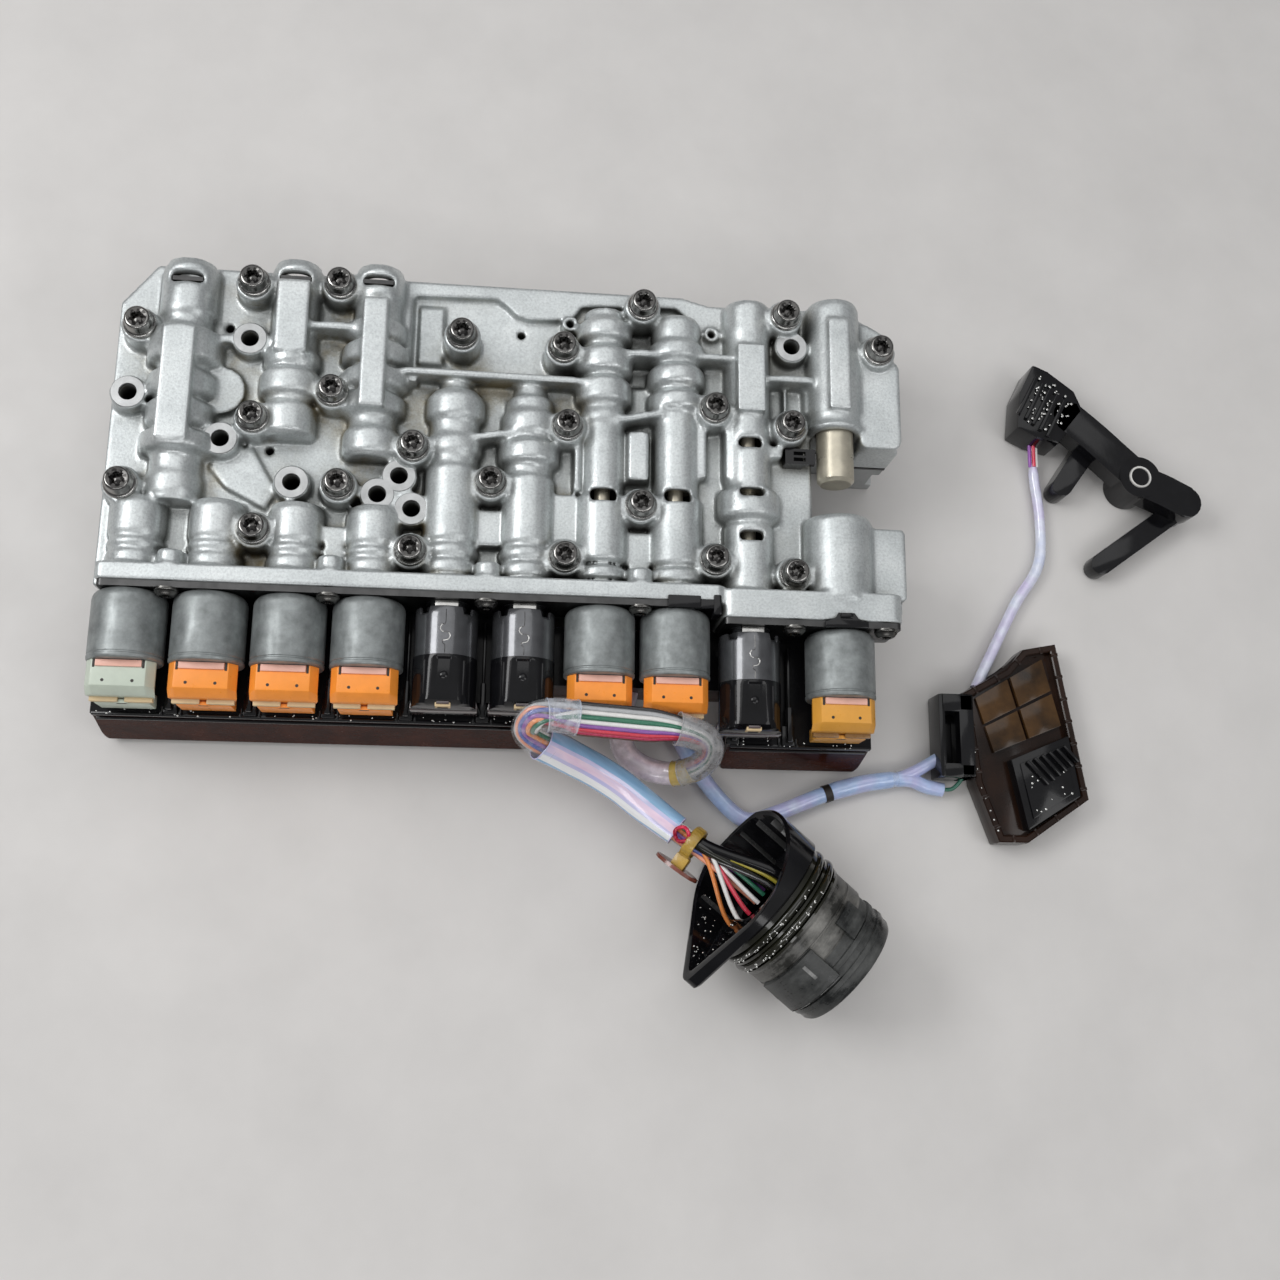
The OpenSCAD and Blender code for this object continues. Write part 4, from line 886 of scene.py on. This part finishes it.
def hull_outline(circles, count):
    """Even points round the hull of circles [((x, y), r), ...]."""
    cloud = sorted({(round(c[0] + r * cos(a), 5), round(c[1] + r * sin(a), 5))
                    for c, r in circles for a in angles(180)})

    def half(points):
        chain = []
        for q in points:
            while len(chain) > 1 and ((chain[-1][0] - chain[-2][0]) * (q[1] - chain[-2][1])
                                      - (chain[-1][1] - chain[-2][1]) * (q[0] - chain[-2][0])) <= 0:
                chain.pop()
            chain.append(q)
        return chain[:-1]

    hull = [Vector(q) for q in half(cloud) + half(cloud[::-1])]
    sides = [(a, b - a) for a, b in zip(hull, hull[1:] + hull[:1])]
    total = sum(step.length for _, step in sides)
    out, walked, k = [], 0.0, 0
    for want in (total * i / count for i in range(count)):
        while walked + sides[k][1].length < want:
            walked += sides[k][1].length
            k += 1
        a, step = sides[k]
        out.append(tuple(a + step * ((want - walked) / step.length)))
    return out


def rim(x, y):
    """Height of the guard's slanting rim."""
    return max(RIM_FAR, RIM_NEAR - RIM_SLOPE[0] * (x + GUARD_R) - RIM_SLOPE[1] * y)


def make_guard(rng):
    at = plug_matrix()
    outer = hull_outline([((0, 0), GUARD_R), ((0, -41.2), 3.8)], 120)
    inner = hull_outline([((0, 0), 26.6), ((0, -39.0), 2.0)], 120)
    hole = [(12 * x / hypot(x, y), 12 * y / hypot(x, y)) for x, y in outer]
    form = Form(at)
    rings = [[(x, y, 2.5) for x, y in hole], [(0.97 * x, 0.97 * y, 2.5) for x, y in outer],
             [(x, y, 1.7) for x, y in outer], [(x, y, rim(x, y) + 0.6) for x, y in outer],
             [((x + a) / 2, (y + b) / 2, rim(x, y) - 0.1) for (x, y), (a, b) in zip(outer, inner)],
             [(a, b, rim(a, b) + 0.7) for a, b in inner], [(a, b, -0.6) for a, b in inner],
             [(0.97 * a, 0.97 * b, 0.0) for a, b in inner], [(x, y, 0.0) for x, y in hole]]
    form.rings(rings + rings[:1], OPEN)
    bmesh.ops.remove_doubles(form.bm, verts=form.bm.verts, dist=0.001)
    for a in (radians(-30 + 24 * k) for k in range(10)):
        depth = rim(25.5 * cos(a), 25.5 * sin(a)) + 2.0
        form.box((24.0, -0.3, depth), (26.9, 0.3, 0.2), 0.15, 2, at @ Matrix.Rotation(a, 4, "Z"))
    for y in (-14, -20, -26, -32):
        half = 11.5 * (1 + (y + 12) / 26)
        form.box((-half, y - 0.5, -2.2), (half, y + 0.5, 0.3), 0.2)
    for _ in range(26):
        x, y = rng.uniform(4, 22), rng.uniform(-36, -12)
        if inside(inner, (1.25 * x, 1.05 * y)):
            form.bead(at @ moved(x, y), rng.uniform(0.25, 0.6), 1)
    for _ in range(26):
        share, t = rng.uniform(0.15, 0.95), rng.uniform(0.3, 0.9)
        x, y = 2.2 + 23.2 * (1 - share), -38.8 + 32.8 * (1 - share)
        form.bead(at @ moved(x, y, t * rim(x, y)), rng.uniform(0.25, 0.5), 1)
    form.finish("guard_moulding", ["black", "bead", "rib"], 40, "black_plastic", "connector_guard")


def make_barrel(rng):
    at = plug_matrix()
    form = Form(at)
    neck = [(2.5, 12), (2.5, 26.2), (2.9, 27.0), (4.7, 27.0), (4.9, 25.1), (8.5, 25.1), (8.7, 26.9),
            (9.7, 26.9), (9.9, 25.1), (13.5, 25.1), (13.7, 26.9), (14.6, 26.8)]
    band = [(14.6, 26.8), (15.4, 26.5), (16.0, 26.1), (20.6, 26.0), (20.9, 25.6), (21.5, 25.6), (21.8, 26.0),
            (27.6, 25.9), (28.6, 25.1)]
    tail = [(28.6, 25.1), (32.6, 25.0), (32.9, 25.7), (34.8, 25.7), (35.1, 25.0), (37.6, 25.0), (37.9, 25.7),
            (39.8, 25.7), (40.1, 25.0), (43.4, 24.9), (44.6, 24.2), (45, 23.4), (45, 22.0), (44.4, 21.6),
            (31, 21.5), (31, 12)]
    for look, stations in enumerate((neck, band, tail)):
        form.lathe(stations, 96, OPEN, look)
    form.arc_box((24.6, 27.4), (-164, -99), (21.0, 36.5), 22, 2)
    for span, ends in (((-151, -148), (23.5, 31.0)), ((-163, -141), (35.9, 36.7)),
                       ((-128, -100), (35.9, 36.7))):
        form.arc_box((24.6, 27.55), span, ends, 8, 3)
    form.arc_box((24.6, 26.5), (-92, -66), (29.5, 31.2), look=2)
    for first in (20, 140):
        form.arc_box((24.6, 27.0), (first, first + 26), (22.5, 32.5), look=2)
    looks = ["wet_rubber", "scuffed", "dull_black", "worn"]
    form.finish("plug_barrel", looks, 32, "grey_plastic", "connector_shell")
    form = Form(at)
    seal = [(0, 25.2), (0, 27.2), (0.5, 27.8), (1.3, 28.0), (2.2, 27.8), (2.8, 27.2), (3.2, 25.2)]
    for z in (5.1, 10.1):
        form.lathe([(z + dz, r) for dz, r in seal], 96, OPEN)
        for _ in range(34):
            a = radians(rng.uniform(150, 262))
            spot = moved(27.8 * cos(a), 27.8 * sin(a), z + rng.uniform(0.6, 2.6))
            form.bead(at @ spot, rng.uniform(0.25, 0.6), 1)
    form.finish("plug_seals", ["wet_rubber", "bead"], 50, "seal_rubber", "connector_seals")


def make_tie():
    """Amber tie round the loom with its head and base plate, and a spare turn of red wire under it."""
    before, here, after = (Vector(p) for p in LOOM[TIE_AT - 1:TIE_AT + 2])
    ahead = (after - before).normalized()
    over = ahead.cross(LOOM_DOWN).normalized()
    at = Matrix((over, ahead.cross(over), ahead)).transposed().to_4x4()
    at.translation = here
    form = Form(at)
    band = [(-2.3, 5.7), (-2.3, 6.6), (-1.9, 6.9), (1.9, 6.9), (2.3, 6.6), (2.3, 5.7), (-2.3, 5.7)]
    form.lathe(band, 48, OPEN)
    for a in angles(24):
        form.box((6.7, -0.35, -1.6), (7.1, 0.35, 1.6), 0.1, at=at @ Matrix.Rotation(a, 4, "Z"))
    form.box((-11.4, -3.2, -3.0), (-6.0, 3.2, 3.0), 0.8)
    plate = [(10.0 * cos(a), 6.5 * sin(a)) for a in angles(40)]
    form.prism(plate, 11.0, 12.5, 0.4, 1, at @ turned(-90, "Y"))
    form.finish("tie_band", ["tie", "tie_base"], 40, "amber_plastic", "cable_tie")
    ring = [at @ Vector((0.8 + 2.9 * cos(a), 6.2 + 0.9 * sin(3 * a), -4.9 + 2.9 * sin(a)))
            for a in (pi * k / 12 for k in range(-20, 21))]
    make_curve("wire_turn", ring, THIN_R, "red")


# sensors
BOX = [(351, -24), (371, -13), (379, -4), (394, -1), (405, -69), (377, -88), (364, -88), (355, -63)]
BLOCK = [(370, -53), (396, -42), (400, -68), (376, -83)]
WINDOW = [(356.0, -26.0), (388.0, -7.0), (395.4, -37.5), (363.5, -50.5)]
HEAD = [(382, 114), (389, 128), (396, 125), (408, 116), (412, 106), (399, 90), (388, 93), (380, 97)]
EYE = (436, 76)


def inset(outline, by):
    """Outline drawn in by a distance, for a convex or nearly convex loop in either direction."""
    pts = [Vector(q) for q in outline]
    area = sum(a.x * b.y - b.x * a.y for a, b in zip(pts, pts[1:] + pts[:1]))
    side = 1 if area > 0 else -1
    out = []
    for i, q in enumerate(pts):
        a, b = (q - pts[i - 1]).normalized(), (pts[(i + 1) % len(pts)] - q).normalized()
        na, nb = Vector((-a.y, a.x)) * side, Vector((-b.y, b.x)) * side
        n = (na + nb).normalized()
        out.append(tuple(q + n * by / max(0.35, n.dot(na))))
    return out


def inside(outline, q):
    hit = False
    for (x0, y0), (x1, y1) in zip(outline, outline[1:] + outline[:1]):
        if (y0 > q[1]) != (y1 > q[1]) and q[0] < (x1 - x0) * (q[1] - y0) / (y1 - y0) + x0:
            hit = not hit
    return hit


def make_position_sensor():
    rng = random.Random(3)
    form = Form()
    form.prism(BOX, 0.0, 9.0, 1.0)
    wall = ((0, 8.5), (0.3, 11.6), (0.8, 12.0), (2.7, 12.0), (3.2, 11.6), (3.2, 9.0))
    form.rings([[(x, y, z) for x, y in inset(BOX, by)] for by, z in wall], OPEN)
    for a, b in zip(BOX, BOX[1:] + BOX[:1]):
        a, b = Vector(a), Vector(b)
        count = int((b - a).length / 9)
        turn = Matrix.Rotation(atan2(b.y - a.y, b.x - a.x), 4, "Z")
        for k in range(count):
            at = moved(*a.lerp(b, (k + 0.5) / count)) @ turn
            form.box((-0.7, -3.4, 11.2), (0.7, -0.3, 12.4), 0.25, at=at)
    form.prism(BLOCK, 8.5, 15.0, 0.9, 1)
    tray = inset(BLOCK, 3.0)
    form.prism(tray, 14.5, 16.0, 0.5, 1)
    corner = Vector(BLOCK[0])
    along = (Vector(BLOCK[1]) - corner).normalized()
    down = Vector((along.y, -along.x))
    for k in range(6):
        turn = Matrix.Rotation(atan2(down.y, down.x) + 0.35, 4, "Z")
        at = moved(*(corner + along * (5 + 3.6 * k) + down * 3.2)) @ turn
        form.box((0, -0.7, 15.0), (13 - 0.8 * k, 0.7, 18.2), 0.3, 1, at)
    for x0, x1, y0, y1 in ((339.2, 342, -60.8, -25.2), (348, 354.5, -60.8, -25.2), (340, 354.5, -60.8, -55),
                           (340, 354.5, -33, -25.2)):
        form.box((x0, y0, 0), (x1, y1, 14.8), 0.9, 1)
    form.box((340, -58, 0), (350, -30, 4), 0.3, 1)
    spots = [(rng.uniform(340, 405), rng.uniform(-88, -1)) for _ in range(240)]
    form.drops(rng, [q for q in spots if inside(tray, q)][:30], 16.0, 0.7, 2)
    ledge = [Vector(q) for q in inset(BOX, 1.6)]
    spots = [a.lerp(b, t) for a, b in ((ledge[7], ledge[6]), (ledge[0], ledge[7]))
             for t in (0.1, 0.28, 0.5, 0.66, 0.85)]
    form.drops(rng, spots, 12.0, 0.6, 2)
    form.finish("position_box", ["brown", "black", "bead"], 35, "brown_plastic", "position_sensor")
    form = Form()
    a, b, c, d = (Vector(q) for q in WINDOW)
    gap = 0.02
    for i in range(2):
        for j in range(2):
            s0, s1, t0, t1 = i / 2 + gap, (i + 1) / 2 - gap, j / 2 + gap, (j + 1) / 2 - gap
            pane = [a.lerp(b, s).lerp(d.lerp(c, s), t) for s, t in ((s0, t0), (s1, t0), (s1, t1), (s0, t1))]
            form.prism(pane, 9.1, 11.2, 0.35)
    form.finish("sensor_window", ["glass"], 35, "amber_plastic", "position_sensor_cover")


def arm_outline(points, widths, count=10):
    """Outline of a bar along the points with a width at each and round ends."""
    pts = [Vector(q) for q in points]
    sides = [Vector((-t.y, t.x)) * w / 2 for t, w in zip(tangents(pts), widths)]

    def cap(q, t, r):
        base = atan2(t.y, t.x)
        turns = [base + pi / 2 - pi * k / count for k in range(1, count)]
        return [q + r * Vector((cos(a), sin(a))) for a in turns]

    left, right = [q + n for q, n in zip(pts, sides)], [q - n for q, n in zip(pts, sides)]
    return (left + cap(pts[-1], pts[-1] - pts[-2], widths[-1] / 2) + right[::-1]
            + cap(pts[0], pts[0] - pts[1], widths[0] / 2))


def make_speed_sensor():
    rng = random.Random(8)
    form = Form()
    form.prism(HEAD, 0, 17, 1.6)
    arm = spline([(404, 104), (416, 94), EYE, (448, 70), (457, 65.5)], 4)
    form.prism(arm_outline(arm, [15] * len(arm)), 7, 17, 1.2)
    form.prism([(EYE[0] + 9.5 * cos(a), EYE[1] + 9.5 * sin(a)) for a in angles(40)], 0, 17.4, 0.9)
    form.prism(arm_outline([(456, 66), (456.5, 65)], [13, 13]), 0, 16.5, 1.0)
    form.prism(arm_outline([(455, 63), (437, 50), (419, 37)], [9.5, 9.5, 9.5]), 0, 9, 1.6)
    form.prism(arm_outline([(416, 92), (409, 82), (402, 72)], [10, 9.5, 9]), 0, 11, 1.2)
    for k in range(5):
        at = moved(390 + 3.2 * k, 121 - 2.6 * k) @ turned(-118, "Z")
        form.box((0, -0.9, 16.2), (20, 0.9, 18.8), 0.4, at=at)
    spots = [(rng.uniform(380, 412), rng.uniform(90, 128)) for _ in range(400)]
    core = inset(HEAD, 4.0)
    form.drops(rng, [q for q in spots if inside(core, q)][:80], 17.8, 0.75, 1)
    form.finish("speed_sensor_moulding", ["black", "bead"], 38, "tray_plastic", "speed_sensor")
    form = Form(moved(*EYE))
    bush = [(0.3, 3.7), (0.3, 5.15), (17.6, 5.15), (18.0, 4.9), (18.0, 4.2), (15.0, 3.62), (0.3, 3.7)]
    form.lathe(bush, 48, OPEN)
    form.finish("bush_ring", ["bright"], 40, "ground_metal", "speed_sensor_bush")


# run: the camera and the cords come before the other pieces
make_camera()
make_stage()
cast_metal()
tray_moulding()
steel("machined", (0.44, 0.45, 0.45), 0.32, (1, 0.2, 1), 0.16, 0.85)
steel("bolt", (0.27, 0.265, 0.255), 0.2, spots=0.4, coat=0.4)
# bolt_dark: painted shade in the bolt and screw sockets, and the dark seam line on the slim shells
steel("bolt_dark", (0.06, 0.058, 0.055), 0.2, spots=0.5, coat=0.6)
steel("washer", (0.47, 0.465, 0.45), 0.26, spots=0.3, coat=0.3)
steel("screw", (0.15, 0.147, 0.14), 0.3, spots=0.4)
steel("plate", (0.085, 0.085, 0.085), 0.36, (0.2, 1, 1))
steel("can", (0.265, 0.285, 0.285), 0.46, (1, 0.3, 1), 0.3, 0.55)
steel("slim", (0.105, 0.108, 0.115), 0.22, (1, 0.1, 1), 0.25, 0.7, 0.7)
steel("ground", (0.56, 0.52, 0.42), 0.34, (0.1, 1, 1), 0.15, 0.6)
# bright: pale steel of the speed sensor's bush, and the painted highlights on the slim shells' seams
steel("bright", (0.80, 0.79, 0.76), 0.32, metallic=0.5)
# bead: oil beads in pale mirror steel so that they glint, partly real reflection and partly painted highlight
steel("bead", (0.62, 0.62, 0.60), 0.07, spots=0.1, metallic=0.9)
# corner_shade on the lower housing: painted shade in its corners
paint("lower", (0.45, 0.46, 0.46), 0.5, 0.15, 60.0, 0.6, fine=0.3, corner_shade=(6.0, (0.3, 0.28, 0.25)))
paint("black", (0.005, 0.005, 0.006), 0.12, 0.4, 90.0, coat=0.12, fine=0.1, spec=0.28)
paint("brown", (0.016, 0.007, 0.004), 0.16, 0.5, 60.0, coat=0.1, fine=0.1, spec=0.25)
paint("foot", (0.055, 0.035, 0.035), 0.18, 0.4, 90.0, coat=0.8)
# corner_shade on the orange, amber and pale caps: painted shade in their corners
paint("orange", (0.94, 0.31, 0.04), 0.36, 0.06, 140.0, fine=0.15, corner_shade=(1.5, (0.6, 0.35, 0.25)))
paint("amber", (0.72, 0.34, 0.05), 0.36, 0.06, 140.0, fine=0.15, corner_shade=(1.5, (0.6, 0.4, 0.25)))
paint("amber_lip", (0.24, 0.12, 0.03), 0.3, 0.15, 140.0, coat=0.2)
paint("pale", (0.52, 0.58, 0.49), 0.4, 0.06, 140.0, fine=0.15, corner_shade=(1.5, (0.6, 0.55, 0.5)))
paint("beige", (0.62, 0.47, 0.27), 0.5, 0.08, 140.0)
paint("salmon", (0.80, 0.45, 0.36), 0.42, 0.06, 140.0)
# dark: near-black; in the fixing bores and on the regulator caps' pinholes it is painted shade
paint("dark", (0.02, 0.015, 0.012), 0.5, 0.3, 140.0)
paint("rib", (0.05, 0.05, 0.05), 0.25, 0.3, 140.0, coat=0.3)
paint("glass", (0.05, 0.024, 0.007), 0.14, 0.7, 60.0, coat=0.1, spec=0.3)
paint("wet_rubber", (0.011, 0.011, 0.006), 0.1, 0.5, 120.0, coat=0.4, fine=0.2, spec=0.4)
paint("tie", (0.42, 0.27, 0.05), 0.3, 0.25, 120.0, coat=0.3)
paint("tie_base", (0.16, 0.045, 0.03), 0.25, 0.4, 90.0, coat=0.6)
paint("violet", (0.30, 0.08, 0.42), 0.3, 0.1, 200.0, coat=0.5)
paint("white", (0.78, 0.77, 0.76), 0.3, 0.1, 200.0, coat=0.5)
paint("red", (0.66, 0.03, 0.08), 0.28, 0.1, 200.0, coat=0.6)
paint("green", (0.03, 0.15, 0.10), 0.3, 0.1, 200.0, coat=0.5)
paint("wire_yellow", (0.45, 0.38, 0.05), 0.3, 0.1, 200.0, coat=0.5)
dusty("dull_black", (0.012, 0.013, 0.013), (0.095, 0.098, 0.095))
dusty("scuffed", (0.02, 0.02, 0.018), (0.23, 0.225, 0.21))
dusty("worn", (0.05, 0.05, 0.05), (0.42, 0.42, 0.41))
film("tape", (0.75, 0.95), (0.45, 0.33, 0.05), (0.60, 0.46, 0.12), (0.55, 0.22, 0.05))
for colour, rgb, *_ in WIRES:
    paint(f"wire_{colour}", rgb, 0.3, 0.08, 200.0, coat=0.5)
film("film_lower", (0.92, 1.0), (0.50, 0.52, 0.84), (0.66, 0.62, 0.88), (0.60, 0.66, 0.90), ahead=FILM_RUN)
film("film_azure", (0.94, 1.0), (0.16, 0.38, 0.62), (0.32, 0.54, 0.80), (0.24, 0.46, 0.62), ahead=FILM_RUN)
film("film_pink", (0.94, 1.0), (0.80, 0.56, 0.76), (0.90, 0.72, 0.86), (0.70, 0.62, 0.88), ahead=FILM_RUN)
film("film_white", (0.94, 1.0), (0.88, 0.90, 0.92), (0.95, 0.95, 0.96), (0.74, 0.82, 0.82), ahead=FILM_RUN)
film("film_pale", (0.7, 0.95), (0.62, 0.56, 0.68), (0.74, 0.66, 0.72), (0.66, 0.60, 0.70))
film("film_clear", (0.05, 0.26), (0.80, 0.80, 0.82), (0.92, 0.92, 0.93), (0.78, 0.82, 0.86))
film("film_grey", (0.4, 0.68), (0.30, 0.29, 0.29), (0.52, 0.52, 0.53), (0.26, 0.27, 0.29))
film("film_frost", (0.3, 0.6), (0.62, 0.70, 0.82), (0.80, 0.82, 0.88), (0.56, 0.68, 0.82))
film("film_blue", (0.9, 1.0), (0.30, 0.44, 0.78), (0.44, 0.58, 0.86), (0.52, 0.52, 0.82), (0.64, 0.74, 0.90))
film("film_lead", (0.9, 1.0), (0.50, 0.58, 0.84), (0.76, 0.80, 0.92), (0.64, 0.58, 0.82), (0.90, 0.91, 0.95))
make_loom(loom_frames())
make_branch()
make_lead()
make_casting()
make_fixing_faces()
make_clips()
make_tray_details()
make_bolts()
make_springs()
for i in range(1, 11):
    if i not in SLIM:
        make_regulator(i)
for i in SLIM:
    make_slim(i)
plug_rng = random.Random(15)
make_guard(plug_rng)
make_barrel(plug_rng)
make_tie()
make_position_sensor()
make_speed_sensor()

# solids that show as they are
LOOKS = {
    "separator_plate": "plate", "lower_housing": "lower", "retainer_plate_left": "plate",
    "retainer_plate_right": "plate", "bore_plugs": "ground", "plug_retainers": "plate",
    "manual_valve": "ground", "selector_clip": "black", "conductor_tray": "tray", "connector_insert": "black",
    **{f"spool_{i}": "ground" for i in range(1, 9)},
}
for name, look in LOOKS.items():
    nodes[name].data.materials.clear()
    nodes[name].data.materials.append(MATS[look])
